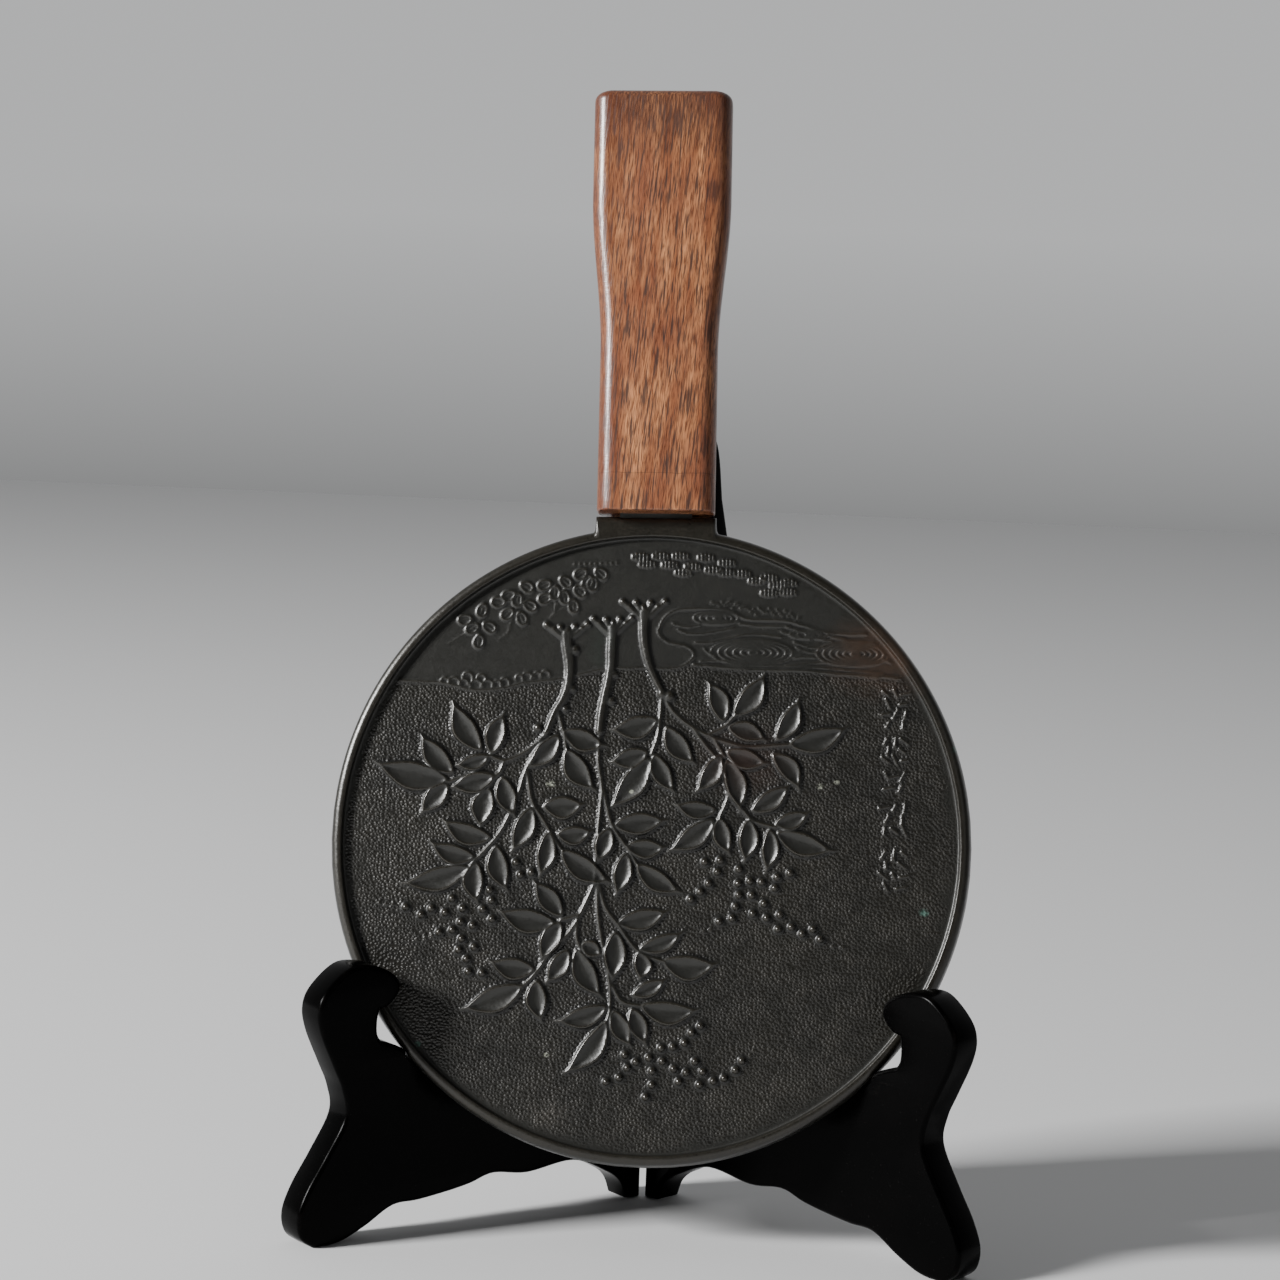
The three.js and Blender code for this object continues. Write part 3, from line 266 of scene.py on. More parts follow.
TUFTS = [
    (-49.0, 37.2, 1.0), (-46.8, 37.0, 1.3), (-44.4, 36.9, 1.0), (-43.6, 38.3, 1.2), (-41.6, 36.5, 1.3),
    (-40.4, 38.0, 1.1), (-38.8, 36.6, 1.2), (-36.6, 36.7, 1.0), (-34.8, 37.2, 1.1), (-31.4, 38.2, 0.9),
    (-29.6, 38.6, 1.1), (-27.2, 38.9, 0.9), (-25.2, 39.2, 1.0),
]
DOTS = [(-63, -15), (-61.4, -15.2), (-59.8, -15.3), (-54, -23.3), (-52, -22.9), (-50.4, -22.4), (13, -20.2),
        (14.6, -19.8), (43, -23.2), (45.4, -23.4), (25, -47.5), (24.2, -48.6)]
DOT_ROW = [(-19 + 1.25 * i, 65.5 + 0.06 * i) for i in range(9)]
PEBBLES = [(13.5 + 0.62 * i, 56.9 - 0.1 * i + 0.5 * math.sin(2.1 * i) + 0.6 * math.sin(5.3 * i * i))
           for i in range(34)]

# Rows of short chiselled strokes beside the rim: level, height and width of each group
STROKE_COLUMN = 57.0
STROKE_GROUPS = [(32.4, 9.6, 7.0), (22.6, 6.6, 6.6), (15.2, 5.4, 5.4), (6.6, 8.2, 7.0), (-5.4, 10.4, 7.2)]
STROKE_SLANTS = (62, -38, 12, 84, -64)

# Carved lines: width at the start, width at the end, height
BANK_LINE = (0.85, 0.85, 0.36)
WATER_LINE = (0.56, 0.5, 0.3)
WHIRL_LINE = (0.56, 0.56, 0.32)
RIPPLE_LINE = (0.5, 0.45, 0.2)
TUFT_LINE = (0.7, 0.7, 0.42)
STROKE_LINE = (0.8, 0.66, 0.46)
ROUND_STEM_LINE = (0.55, 0.45, 0.3)
STEM_LINE = (1.35, 0.95, 0.55)
CROWN_LINE = (2.2, 1.7, 0.6)
TRUNK_HEIGHT = 0.8
TRUNK_KNOTS = 0.03

# Carved domes: radius, height
DOT = (0.5, 0.32)
STROKE_HEAD = (0.42, 0.46)
BERRY = (1.0, 1.0)
BERRY_RING = 0.16

# Heights of the carved field
LEVELS = 1024
HALF = 102.37
FIELD_RADIUS = 71.2
MESH_TOLERANCE = 0.044
BACK_RING = 30.0
axis = np.linspace(-HALF, HALF, LEVELS + 1)
STEP = axis[1] - axis[0]
U, V = np.meshgrid(axis, axis, indexing="ij")
RADIUS = np.hypot(U, V)


def window(low_u, high_u, low_v, high_v, margin=2.0):
    """The part of the grid that an element can reach."""
    cut = []
    for low, high in ((low_u, high_u), (low_v, high_v)):
        start = int(np.clip((low - margin + HALF) / STEP, 0, LEVELS))
        stop = int(np.clip((high + margin + HALF) / STEP + 2, 1, LEVELS + 1))
        cut.append(slice(start, stop))
    return tuple(cut)


def smooth(x, low, high):
    """0 below one value, 1 above another, and an easy rise between."""
    t = np.clip((x - low) / (high - low), 0, 1)
    return t * t * (3 - 2 * t)


def catmull(points, steps):
    """Points of a smooth curve through the given ones."""
    p = np.array(points, float)
    p = np.vstack([2 * p[0] - p[1], p, 2 * p[-1] - p[-2]])
    out = []
    for i in range(1, len(p) - 2):
        for k in range(steps):
            t = k / steps
            out.append(0.5 * (2 * p[i] + (p[i + 1] - p[i - 1]) * t
                              + (2 * p[i - 1] - 5 * p[i] + 4 * p[i + 1] - p[i + 2]) * t * t
                              + (3 * p[i] - p[i - 1] - 3 * p[i + 1] + p[i + 2]) * t ** 3))
    out.append(p[-2])
    return np.array(out)


def nearest(points, cut):
    """Distance from each grid point of the window to a polyline, and the share of its length there."""
    u, v = U[cut], V[cut]
    best = np.full(u.shape, 1e9)
    share = np.zeros(u.shape)
    lengths = np.hypot(*np.diff(points, axis=0).T)
    done = 0.0
    for a, b, length in zip(points[:-1], points[1:], lengths):
        du, dv = (b - a) / max(length, 1e-9)
        t = np.clip((u - a[0]) * du + (v - a[1]) * dv, 0, length)
        distance = np.hypot(u - a[0] - t * du, v - a[1] - t * dv)
        closer = distance < best
        best = np.where(closer, distance, best)
        share = np.where(closer, (done + t) / lengths.sum(), share)
        done += length
    return best, share


def stamp_line(field, points, start_width, end_width, height, steps=10, knots=0.0):
    """A rounded ridge along a curve."""
    line = catmull(points, steps)
    cut = window(line[:, 0].min(), line[:, 0].max(), line[:, 1].min(), line[:, 1].max())
    distance, share = nearest(line, cut)
    half = (start_width + (end_width - start_width) * share) / 2
    if knots:
        length = np.hypot(*np.diff(line, axis=0).T).sum()
        along = share * length
        half = half * (1 + knots * 0.6 * np.sin(along * 1.3) + knots * 0.5 * np.sin(along * 4.7 + 1))
    ridge = height * np.clip(1 - (distance / (1.12 * half)) ** 2, 0, 1) ** 1.6
    if knots:
        bark = np.sin(distance * 7 + 1.6 * np.sin(along * 1.7))
        bark = bark * np.sin(along * 4.1 + distance * 3 + np.sin(along))
        ridge = np.minimum(ridge * 1.6, height) * (1 - knots * (0.5 + 0.5 * bark))
    field[cut] = np.maximum(field[cut], ridge)


def stamp_dome(field, u, v, radius, height, ring=0.0):
    """A round bump, with a low ring around it where one is asked for."""
    cut = window(u - radius, u + radius, v - radius, v + radius)
    distance = np.hypot(U[cut] - u, V[cut] - v)
    bump = height * np.sqrt(np.clip(1 - (distance / radius) ** 2, 0, 1))
    if ring:
        bump = np.maximum(bump, ring * np.exp(-((distance - radius * 1.42) / 0.17) ** 2))
    field[cut] = np.maximum(field[cut], bump)


def stamp_leaf(field, base_u, base_v, tip_u, tip_v, width, bow):
    """A pointed leaf: a valley between two raised edges, drawn over what is below."""
    length = math.hypot(tip_u - base_u, tip_v - base_v)
    au, av = (tip_u - base_u) / length, (tip_v - base_v) / length
    reach = width / 2 + abs(bow)
    cut = window(min(base_u, tip_u) - reach, max(base_u, tip_u) + reach,
                 min(base_v, tip_v) - reach, max(base_v, tip_v) + reach)
    x = ((U[cut] - base_u) * au + (V[cut] - base_v) * av) / length
    inside = np.clip(x, 0, 1)
    y = -(U[cut] - base_u) * av + (V[cut] - base_v) * au - 4 * bow * inside * (1 - inside)
    half = 1.06 * width / 2 * np.sin(math.pi * inside ** 0.86) ** (0.85 + 0.75 * inside)
    edge = half - np.abs(y) - length * np.abs(x - inside)
    across = np.clip(np.abs(y) / np.maximum(half, 1e-6), 0, 1)
    open_share = smooth(half, 0.35, 1.5)
    bowl = 0.14 + 0.78 * across ** 1.5
    hollow = 0.66 + (bowl - 0.66) * open_share
    vein = 0.1 * np.exp(-(y / 0.2) ** 2) * open_share
    lip = 0.24 * np.exp(-((edge - 0.22) / 0.2) ** 2) * smooth(half, 0.2, 0.9)
    profile = 0.9 * (hollow + lip + vein) * smooth(edge, -0.42, 0.18)
    profile = profile * (0.8 + 0.2 * np.sin(math.pi * inside))
    over = smooth(edge, 0.0, 0.16)
    below = field[cut]
    lift = 0.16 * smooth(below, 0.1, 0.5) * over
    field[cut] = np.where(edge > -0.42, np.maximum(below * (1 - over), profile + lift), below)


def stamp_round_leaf(field, u, v, angle):
    """A small oval leaf with a raised edge and middle line."""
    cut = window(u - 3, u + 3, v - 3, v + 3)
    c, s = math.cos(math.radians(angle)), math.sin(math.radians(angle))
    x = (U[cut] - u) * c + (V[cut] - v) * s
    y = -(U[cut] - u) * s + (V[cut] - v) * c
    edge = (1 - np.hypot(x / 2.0, y / (1.4 - 0.12 * x))) * 1.4
    body = smooth(edge, -0.1, 0.14) * (0.16 + 0.36 * np.exp(-((edge - 0.26) / 0.22) ** 2))
    middle = 0.4 * np.exp(-(y / 0.22) ** 2) * smooth(edge, 0.0, 0.2)
    field[cut] = np.maximum(field[cut], np.maximum(body, middle))


def stamp_fan(field, u, v):
    """A moss cushion: a flat oval of two rows of short upright ribs."""
    cut = window(u - 4, u + 4, v - 3, v + 3)
    x, y = U[cut] - u, V[cut] - v
    edge = smooth(1 - np.hypot(x / 2.6, y / 1.15), 0.0, 0.22)
    rows = 0.45 + 0.55 * np.abs(np.sin(math.pi * (y + 1.15) / 1.15)) ** 0.7
    ribs = 0.5 + 0.5 * np.cos(x * 2 * math.pi / 0.88)
    field[cut] = np.maximum(field[cut], edge * (0.14 + 0.55 * ribs * rows))


def stamp_arc(field, u, v, radius):
    """A half ring, open below."""
    line = [(u + radius * math.cos(a), v + radius * math.sin(a)) for a in np.linspace(-0.3, math.pi + 0.3, 7)]
    stamp_line(field, line, *TUFT_LINE, steps=3)


def inside_polygon(points):
    """True inside a closed polygon, by the parity of its crossings."""
    inside = np.zeros(U.shape, bool)
    for (u0, v0), (u1, v1) in zip(points, np.roll(points, -1, axis=0)):
        if abs(v1 - v0) < 1e-9:
            continue
        crosses = ((v0 > V) != (v1 > V)) & (U < (u1 - u0) * (V - v0) / (v1 - v0) + u0)
        inside ^= crosses
    return inside


def soft(mask, passes=2):
    """A mask with its edge blurred over a few grid steps."""
    out = mask.astype(float)
    for _ in range(passes):
        out[1:-1] = (out[:-2] + 2 * out[1:-1] + out[2:]) / 4
        out[:, 1:-1] = (out[:, :-2] + 2 * out[:, 1:-1] + out[:, 2:]) / 4
    return out


def blurred(values, reach):
    """A box blur by running sums."""
    size = 2 * reach + 1
    out = values
    for side in (0, 1):
        padded = np.pad(out, [(reach + 1, reach) if k == side else (0, 0) for k in (0, 1)], mode="edge")
        total = np.cumsum(padded, axis=side)
        upper = np.take(total, range(size, total.shape[side]), axis=side)
        lower = np.take(total, range(0, total.shape[side] - size), axis=side)
        out = (upper - lower) / size
    return out


def stamp_strokes(field):
    """Groups of short strokes in rows, each apart from the others and slanted its own way."""
    for number, (level, height, width) in enumerate(STROKE_GROUPS):
        rows = max(2, round(height / 2.6))
        for r in range(rows):
            v = level + height * ((r + 0.5) / rows - 0.5)
            count = 3 if (r + number) % 2 else 2
            for k in range(count):
                u = STROKE_COLUMN + width * ((k + 0.5) / count - 0.5)
                slant = math.radians(STROKE_SLANTS[(2 * r + 3 * k + number) % len(STROKE_SLANTS)])
                reach = 0.85 + 0.2 * ((r + k + number) % 3)
                du, dv = reach * math.cos(slant), reach * math.sin(slant)
                stamp_line(field, [(u - du, v - dv), (u + du, v + dv)], *STROKE_LINE, steps=3)
                stamp_dome(field, u - du, v - dv, *STROKE_HEAD)


def carve():
    """Heights above the field, and a mask of the stippled ground."""
    field = np.zeros(U.shape)
    tongue = catmull(HORIZON, 8)
    upper = catmull(UPPER_BANK, 8)
    lower = catmull(LOWER_BANK, 8)
    land_edge = np.vstack([tongue, [(1.2, 80), (-80, 80), (-80, 37.4)]])
    land = inside_polygon(land_edge)
    above_bank = inside_polygon(np.vstack([upper, [(80, 50), (80, 80), (1.2, 80), (1.2, 50.2)]]))
    water = inside_polygon(np.vstack([tongue[-56:], upper, [(80, 50), (80, 39.5)], lower[::-1]]))
    smooth_ground = soft(land | above_bank | water, 2)
    field += 0.1 * soft(land | above_bank, 2)
    for points in (HORIZON, UPPER_BANK, LOWER_BANK):
        stamp_line(field, points, *BANK_LINE)
    for points in WATER_LINES:
        stamp_line(field, points, *WATER_LINE)
    for u, v, wide, tall, count in WHIRLS:
        for k in range(count):
            share = (k + 0.7) / (count - 0.3)
            ring = [(u + wide * share * math.cos(a) + 0.5 * (1 - share), v + tall * share * math.sin(a))
                    for a in np.linspace(0.25 * k, 0.25 * k + 2 * math.pi, 25)]
            stamp_line(field, ring, *WHIRL_LINE, steps=2)
    for u, v, count in RIPPLES:
        for k in range(count):
            w = 1.2 + 0.9 * k
            end = v + 0.9 + 0.1 * k
            stamp_line(field, [(u - w, end), (u, v - 0.5 * k), (u + w, end)], *RIPPLE_LINE)
    for points in ROUND_STEMS:
        stamp_line(field, points, *ROUND_STEM_LINE)
    for leaf in ROUND_LEAVES:
        stamp_round_leaf(field, *leaf)
    for fan in MOSS_FANS:
        stamp_fan(field, *fan)
    for u, v, radius in TUFTS:
        stamp_arc(field, u, v, radius)
    for u, v in DOTS + DOT_ROW + PEBBLES:
        stamp_dome(field, u, v, *DOT)
    stamp_strokes(field)
    for points in STEMS:
        stamp_line(field, points, *STEM_LINE)
    for points, start, end in TRUNKS:
        stamp_line(field, points, start, end, TRUNK_HEIGHT, knots=TRUNK_KNOTS)
    for root, ends in CROWNS:
        for k, end in enumerate(ends):
            stamp_line(field, [root, end], *CROWN_LINE, steps=4)
            stamp_dome(field, *end, 0.85 - 0.2 * (k % 2), 0.75)
    for u, v, radius in KNOBS:
        stamp_dome(field, u, v, radius, radius * 0.75)
    for leaf in LEAVES:
        stamp_leaf(field, *leaf)
    for u, v in BERRIES:
        stamp_dome(field, u, v, *BERRY, ring=BERRY_RING)
    near_rim = smooth(RADIUS, 70.4, 71.1)
    field = soft(field, 1) * (1 - near_rim)
    stipple = (1 - smooth_ground) * (1 - smooth(field, 0.03, 0.12)) * (1 - near_rim)
    return field, stipple


HEIGHTS, STIPPLE = carve()
CAVITY = HEIGHTS - blurred(HEIGHTS, 4)
SLOPE_U, SLOPE_V = np.gradient(soft(HEIGHTS, 1), STEP)


def adaptive_triangles(heights, extra, tolerance):
    """Right triangles of the grid, each as coarse as the heights allow, with no gaps between them."""
    n = LEVELS
    error = np.zeros(heights.shape)

    def own(centre, one, other):
        value = np.abs(heights[centre] - (heights[one] + heights[other]) / 2)
        return np.maximum(value, 0.04 * np.abs(extra[centre] - (extra[one] + extra[other]) / 2))

    def at(start_i, start_j, step, count_i, count_j):
        return slice(start_i, start_i + step * count_i, step), slice(start_j, start_j + step * count_j, step)

    s = 1
    while s < n:
        m = n // (2 * s)
        # middles of level sides, then of upright sides
        for flip in (False, True):
            middle = at(s, 0, 2 * s, m, m + 1)
            before = at(0, 0, 2 * s, m, m + 1)
            after = at(2 * s, 0, 2 * s, m, m + 1)
            if flip:
                middle, before, after = [(c[1], c[0]) for c in (middle, before, after)]
            value = own(middle, before, after)
            if s > 1:
                q = s // 2
                rows = np.arange(middle[0].start, middle[0].stop, middle[0].step)
                cols = np.arange(middle[1].start, middle[1].stop, middle[1].step)
                for di in (-q, q):
                    for dj in (-q, q):
                        i = np.clip(rows + di, 0, n)
                        j = np.clip(cols + dj, 0, n)
                        inside = (i == rows + di)[:, None] & (j == cols + dj)
                        value = np.maximum(value, np.where(inside, error[np.ix_(i, j)], 0))
            error[middle] = np.maximum(error[middle], value)
        centre = at(s, s, 2 * s, m, m)
        corner = [at(a * 2 * s, b * 2 * s, 2 * s, m, m) for a in (0, 1) for b in (0, 1)]
        value = np.maximum(own(centre, corner[0], corner[3]), own(centre, corner[1], corner[2]))
        for i, j in ((0, s), (2 * s, s), (s, 0), (s, 2 * s)):
            value = np.maximum(value, error[at(i, j, 2 * s, m, m)])
        error[centre] = value
        s *= 2

    width = n + 1
    flat = error.ravel()
    triangles = np.array([[0, n * width + n, n * width], [n * width + n, 0, n]])
    done = []
    while len(triangles):
        ai, aj = np.divmod(triangles[:, 0], width)
        bi, bj = np.divmod(triangles[:, 1], width)
        middle = (ai + bi) // 2 * width + (aj + bj) // 2
        big = np.abs(ai - bi) + np.abs(aj - bj) > 1
        diagonal_unit = (np.abs(ai - bi) == 1) & (np.abs(aj - bj) == 1)
        split = big & ~diagonal_unit & (flat[middle] > tolerance)
        done.append(triangles[~split])
        chosen, middles = triangles[split], middle[split]
        triangles = np.vstack([
            np.column_stack([chosen[:, 2], chosen[:, 0], middles]),
            np.column_stack([chosen[:, 1], chosen[:, 2], middles]),
        ])
    return np.vstack(done)


def clip_to_circle(points, triangles, radius):
    """Keeps what lies inside a circle, with new points where edges cross it."""
    inside = np.hypot(points[:, 0], points[:, 1]) < radius
    count = inside[triangles].sum(axis=1)
    kept = [triangles[count == 3]]
    extra = {}
    added = []

    def crossing(a, b):
        key = (min(a, b), max(a, b))
        if key not in extra:
            p, q = points[a, :2], points[b, :2]
            d = q - p
            qa, qb, qc = d @ d, 2 * p @ d, p @ p - radius ** 2
            root = math.sqrt(max(qb * qb - 4 * qa * qc, 0))
            options = [t for t in ((-qb - root) / (2 * qa), (-qb + root) / (2 * qa))
                       if -1e-9 <= t <= 1 + 1e-9]
            extra[key] = len(points) + len(added)
            added.append(points[a] + options[0] * (points[b] - points[a]))
        return extra[key]

    for row in triangles[(count > 0) & (count < 3)]:
        row = list(row)
        flags = [inside[k] for k in row]
        while not (flags[0] and not flags[2]):
            row, flags = row[1:] + row[:1], flags[1:] + flags[:1]
        a, b, c = row
        if flags[1]:
            bc, ca = crossing(b, c), crossing(c, a)
            kept.append(np.array([[a, b, bc], [a, bc, ca]]))
        else:
            ab, ca = crossing(a, b), crossing(c, a)
            kept.append(np.array([[a, ab, ca]]))
    return np.vstack([points, np.array(added)]), np.vstack(kept)


def edge_loop(triangles):
    """The points along the edge of a disc of triangles, in order."""
    edges = np.vstack([triangles[:, [0, 1]], triangles[:, [1, 2]], triangles[:, [2, 0]]])
    forward = {(int(p), int(q)) for p, q in edges}
    following = {p: q for p, q in forward if (q, p) not in forward}
    loop = [next(iter(following))]
    while following[loop[-1]] != loop[0]:
        loop.append(following[loop[-1]])
    return np.array(loop)


def casting_edge(turn):
    """How far the casting's outline is from its middle at an angle: the disc, and the neck above it."""
    edge = np.full(turn.shape, DISC_RADIUS)
    half, blend = NECK_WIDTH / 2, NECK_BLEND
    away = np.abs(np.arctan2(np.sin(turn - math.pi / 2), np.cos(turn - math.pi / 2)))
    for k, value in enumerate(away):
        if value > 0.4:
            continue
        if value * DISC_RADIUS < half:
            edge[k] = max(edge[k], NECK_END / math.cos(value))
        else:
            beyond = value * DISC_RADIUS - half
            if beyond < blend:
                share = 1 - beyond / blend
                edge[k] = DISC_RADIUS + (NECK_END / math.cos(value) - DISC_RADIUS) * share ** 3
    return edge


def link_object(name, data):
    """Puts an object with this data in the scene."""
    piece = bpy.data.objects.new(name, data)
    bpy.context.scene.collection.objects.link(piece)
    return piece


def new_object(name, points, faces, matrix, attributes=()):
    """A mesh object in the scene's metres, with smooth shading and per-point values for its material."""
    mesh = bpy.data.meshes.new(name)
    place = np.c_[np.asarray(points, float), np.ones(len(points))] @ np.array(matrix).T
    mesh.from_pydata(place[:, :3], [], faces)
    for label, values in attributes:
        values = np.asarray(values, float)
        kind = "FLOAT_VECTOR" if values.ndim == 2 else "FLOAT"
        layer = mesh.attributes.new(label, kind, "POINT")
        layer.data.foreach_set("vector" if values.ndim == 2 else "value", values.ravel())
    mesh.update()
    mesh.validate()
    mesh.polygons.foreach_set("use_smooth", [True] * len(mesh.polygons))
    return link_object(name, mesh)


def tang():
    """Corners of the flat tang that goes into the handle."""
    low = (RIM_THICKNESS - TANG_THICKNESS) / 2
    wide, narrow = TANG_WIDTH / 2, (TANG_WIDTH - TANG_TAPER) / 2
    start, end = NECK_END - 1, HANDLE_START + TANG_LENGTH
    return [(u, v, w, 0, 0) for w in (low, low + TANG_THICKNESS)
            for u, v in ((-wide, start), (wide, start), (narrow, end), (-narrow, end))]


def casting():
    """The whole casting as one closed skin: the carved field, the rim, the neck and the flat back."""
    # asks for small triangles along the edge of the field, and smaller ones at the neck's corners
    circle = 0.1 * np.exp(-((RADIUS - FIELD_RADIUS) / 1.2) ** 2)
    circle *= 1 + 14 * np.exp(-((np.abs(U) - 0.95 * NECK_WIDTH / 2) / 1.4) ** 2) * (V > 0)
    triangles = adaptive_triangles(HEIGHTS + circle, STIPPLE, MESH_TOLERANCE)
    width = LEVELS + 1
    used, flat = np.unique(triangles, return_inverse=True)
    points = np.column_stack([axis[used // width], axis[used % width],
                              HEIGHTS.ravel()[used] + FIELD_THICKNESS,
                              STIPPLE.ravel()[used], CAVITY.ravel()[used]])
    points, triangles = clip_to_circle(points, flat.reshape(-1, 3), FIELD_RADIUS)
    used, flat = np.unique(triangles, return_inverse=True)
    points, triangles = points[used], flat.reshape(-1, 3)
    a, b, c = (points[triangles[:, k], :2] for k in range(3))
    turned = (b[:, 0] - a[:, 0]) * (c[:, 1] - a[:, 1]) - (b[:, 1] - a[:, 1]) * (c[:, 0] - a[:, 0]) < 0
    triangles[turned] = triangles[turned][:, ::-1]
    loop = edge_loop(triangles)
    turn = np.arctan2(points[loop, 1], points[loop, 0])
    outline = casting_edge(turn)
    inner = DISC_RADIUS - RIM_DRAFT - RIM_WIDTH
    # from the field over the rim to the back: distance from the middle, or from the outline for a 1, and height
    rings = [
        (inner - 0.42, FIELD_THICKNESS + 0.02, 0), (inner - 0.2, FIELD_THICKNESS + 0.16, 0),
        (inner - 0.1, FIELD_THICKNESS + 0.5, 0), (inner, RIM_THICKNESS - 0.36, 0),
        (inner + 0.1, RIM_THICKNESS - 0.1, 0), (inner + 0.28, RIM_THICKNESS, 0),
        (inner + 0.5, RIM_THICKNESS, 0),
        (-1.95, RIM_THICKNESS - 0.01, 1), (-1.65, RIM_THICKNESS - 0.08, 1), (-1.3, RIM_THICKNESS - 0.24, 1),
        (-0.95, RIM_THICKNESS - 0.46, 1), (-0.68, RIM_THICKNESS - 0.74, 1), (-0.48, RIM_THICKNESS - 1.2, 1),
        (-0.3, RIM_THICKNESS / 2, 1), (0.0, 0.55, 1), (-0.12, 0.16, 1), (-0.5, 0.0, 1), (-2.5, 0.0, 1),
        (BACK_RING, 0.0, 0),
    ]
    layers = [points]
    faces = [tuple(int(k) for k in row) for row in triangles]
    previous = loop
    base = len(points)
    for radius, height, follows in rings:
        reach = outline + radius if follows else np.full(turn.shape, radius)
        # rim points above 4 mm get a cavity of 0.2, which the bronze lightens as wear and as painted highlight
        ring = np.column_stack([reach * np.cos(turn), reach * np.sin(turn), np.full(turn.shape, height),
                                np.zeros(turn.shape), np.full(turn.shape, 0.2 if height > 4 else 0.0)])
        layers.append(ring)
        current = base + np.arange(len(turn))
        base += len(turn)
        ahead, behind = np.roll(current, -1), np.roll(previous, -1)
        faces += [(int(p), int(q), int(r), int(s)) for p, q, r, s in zip(previous, current, ahead, behind)]
        previous = current
    layers.append(np.array([[0, 0, 0, 0, 0]], float))
    faces += [(int(p), base, int(q)) for p, q in zip(previous, np.roll(previous, -1))]
    everything = np.vstack(layers)
    count = len(everything)
    everything = np.vstack([everything, tang()])
    faces += [tuple(count + k for k in face) for face in BOX_FACES]
    piece = new_object("mirror_casting", everything[:, :3], faces, MIRROR, [
        ("local", everything[:, :3]), ("stipple", everything[:, 3]), ("cavity", everything[:, 4]),
    ])
    # the field's normals come from the fine heights, so the coarser triangles don't show
    normals = np.zeros((len(everything), 3))
    row, column = (np.rint((points[:, k] + HALF) / STEP).astype(int) for k in (0, 1))
    inner_part = np.hypot(points[:, 0], points[:, 1]) < FIELD_RADIUS - 0.5
    carved = np.column_stack([-SLOPE_U[row, column], -SLOPE_V[row, column], np.ones(len(points))])
    carved = carved / np.linalg.norm(carved, axis=1)[:, None] @ np.array(MIRROR.to_3x3().normalized()).T
    normals[: len(points)] = np.where(inner_part[:, None], carved, 0)
    piece.data.normals_split_custom_set_from_vertices(normals.tolist())
    return piece


def handle_section(along, width, inset, corners):
    """A rounded oblong across the handle, as in the solid but with finer corners."""
    half = width / 2 - inset
    low, high = -HANDLE_PROUD_BACK + inset, RIM_THICKNESS + HANDLE_PROUD_FRONT - inset
    radius = max(HANDLE_EDGE_RADIUS - inset, 0.5)
    share = float(smooth(np.array(along), HANDLE_LENGTH / 2, HANDLE_LENGTH))
    ring = []
    for sideways, upward, start in ((1, 1, 0), (-1, 1, 90), (-1, -1, 180), (1, -1, 270)):
        for k in range(corners + 1):
            angle = math.radians(start + 90 * k / corners)
            x = sideways * (half - radius) + radius * math.cos(angle)
            z = (high - radius if upward > 0 else low + radius) + radius * math.sin(angle)
            bulge = HANDLE_END_BULGE * (1 - (2 * x / HANDLE_END_WIDTH) ** 2)
            ring.append((x, HANDLE_START + along + share * bulge, z))
    return ring


def grip():
    """The wooden handle as a closed loft, slotted for the tang."""
    corner = HANDLE_CORNER_RADIUS
    end = HANDLE_LENGTH - HANDLE_END_BULGE
    stations = [(0.5 * (1 - math.sin(a)), 0.5 * (1 - math.cos(a))) for a in np.linspace(math.pi / 2, 0, 5)]
    stations += [(along, 0.0) for along in np.linspace(3, end - corner - 1, 46)]
    stations += [(end - corner + corner * math.sin(a), corner * (1 - math.cos(a)))
                 for a in np.linspace(0, math.pi / 2, 7)]
    rings = []
    for along, inset in stations:
        flare = float(smooth(np.array(along), *HANDLE_FLARE))
        width = HANDLE_WIDTH + (HANDLE_END_WIDTH - HANDLE_WIDTH) * flare
        rings.append(handle_section(along, width, inset, 8))
    points = [p for ring in rings for p in ring]
    count = len(rings[0])
    faces = []
    for i in range(len(rings) - 1):
        for j in range(count):
            k = (j + 1) % count
            faces.append((i * count + j, i * count + k, (i + 1) * count + k, (i + 1) * count + j))
    faces.append(tuple(range(count))[::-1])
    faces.append(tuple((len(rings) - 1) * count + j for j in range(count)))
    piece = new_object("handle_grip", points, faces, MIRROR)
    fix_normals(piece)
    half = TANG_WIDTH / 2 + FIT_GAP
    low = (RIM_THICKNESS - TANG_THICKNESS) / 2 - FIT_GAP
    high = low + TANG_THICKNESS + 2 * FIT_GAP
    top = HANDLE_START + TANG_LENGTH + FIT_GAP
    narrow = half - TANG_TAPER / 2
    slot = [(u, v, w) for w in (low, high)
            for u, v in ((-half, SLOT_START), (half, SLOT_START), (narrow, top), (-narrow, top))]
    cutter = new_object("slot_cutter", slot, BOX_FACES, MIRROR)
    boolean(piece, cutter, "DIFFERENCE")
    inverse = MIRROR.inverted()
    local = [inverse @ v.co for v in piece.data.vertices]
    layer = piece.data.attributes.new("local", "FLOAT_VECTOR", "POINT")
    layer.data.foreach_set("vector", [c for v in local for c in v])
    return piece


def fix_normals(piece):
    """Turns every face of a closed mesh outwards."""
    work = bmesh.new()
    work.from_mesh(piece.data)
    bmesh.ops.recalc_face_normals(work, faces=work.faces)
    work.to_mesh(piece.data)
    work.free()


def boolean(piece, other, operation):
    """Cuts or joins one closed mesh with another, and removes the other."""
    modifier = piece.modifiers.new("cut", "BOOLEAN")
    modifier.operation = operation
    modifier.solver = "EXACT"
    modifier.object = other
    bake(piece)
    bpy.data.objects.remove(other, do_unlink=True)


def bake(piece):
    """Applies a piece's modifiers to its mesh."""
    bpy.context.view_layer.update()
    made = bpy.data.meshes.new_from_object(piece.evaluated_get(bpy.context.evaluated_depsgraph_get()))
    piece.modifiers.clear()
    old = piece.data
    piece.data = made
    bpy.data.meshes.remove(old)


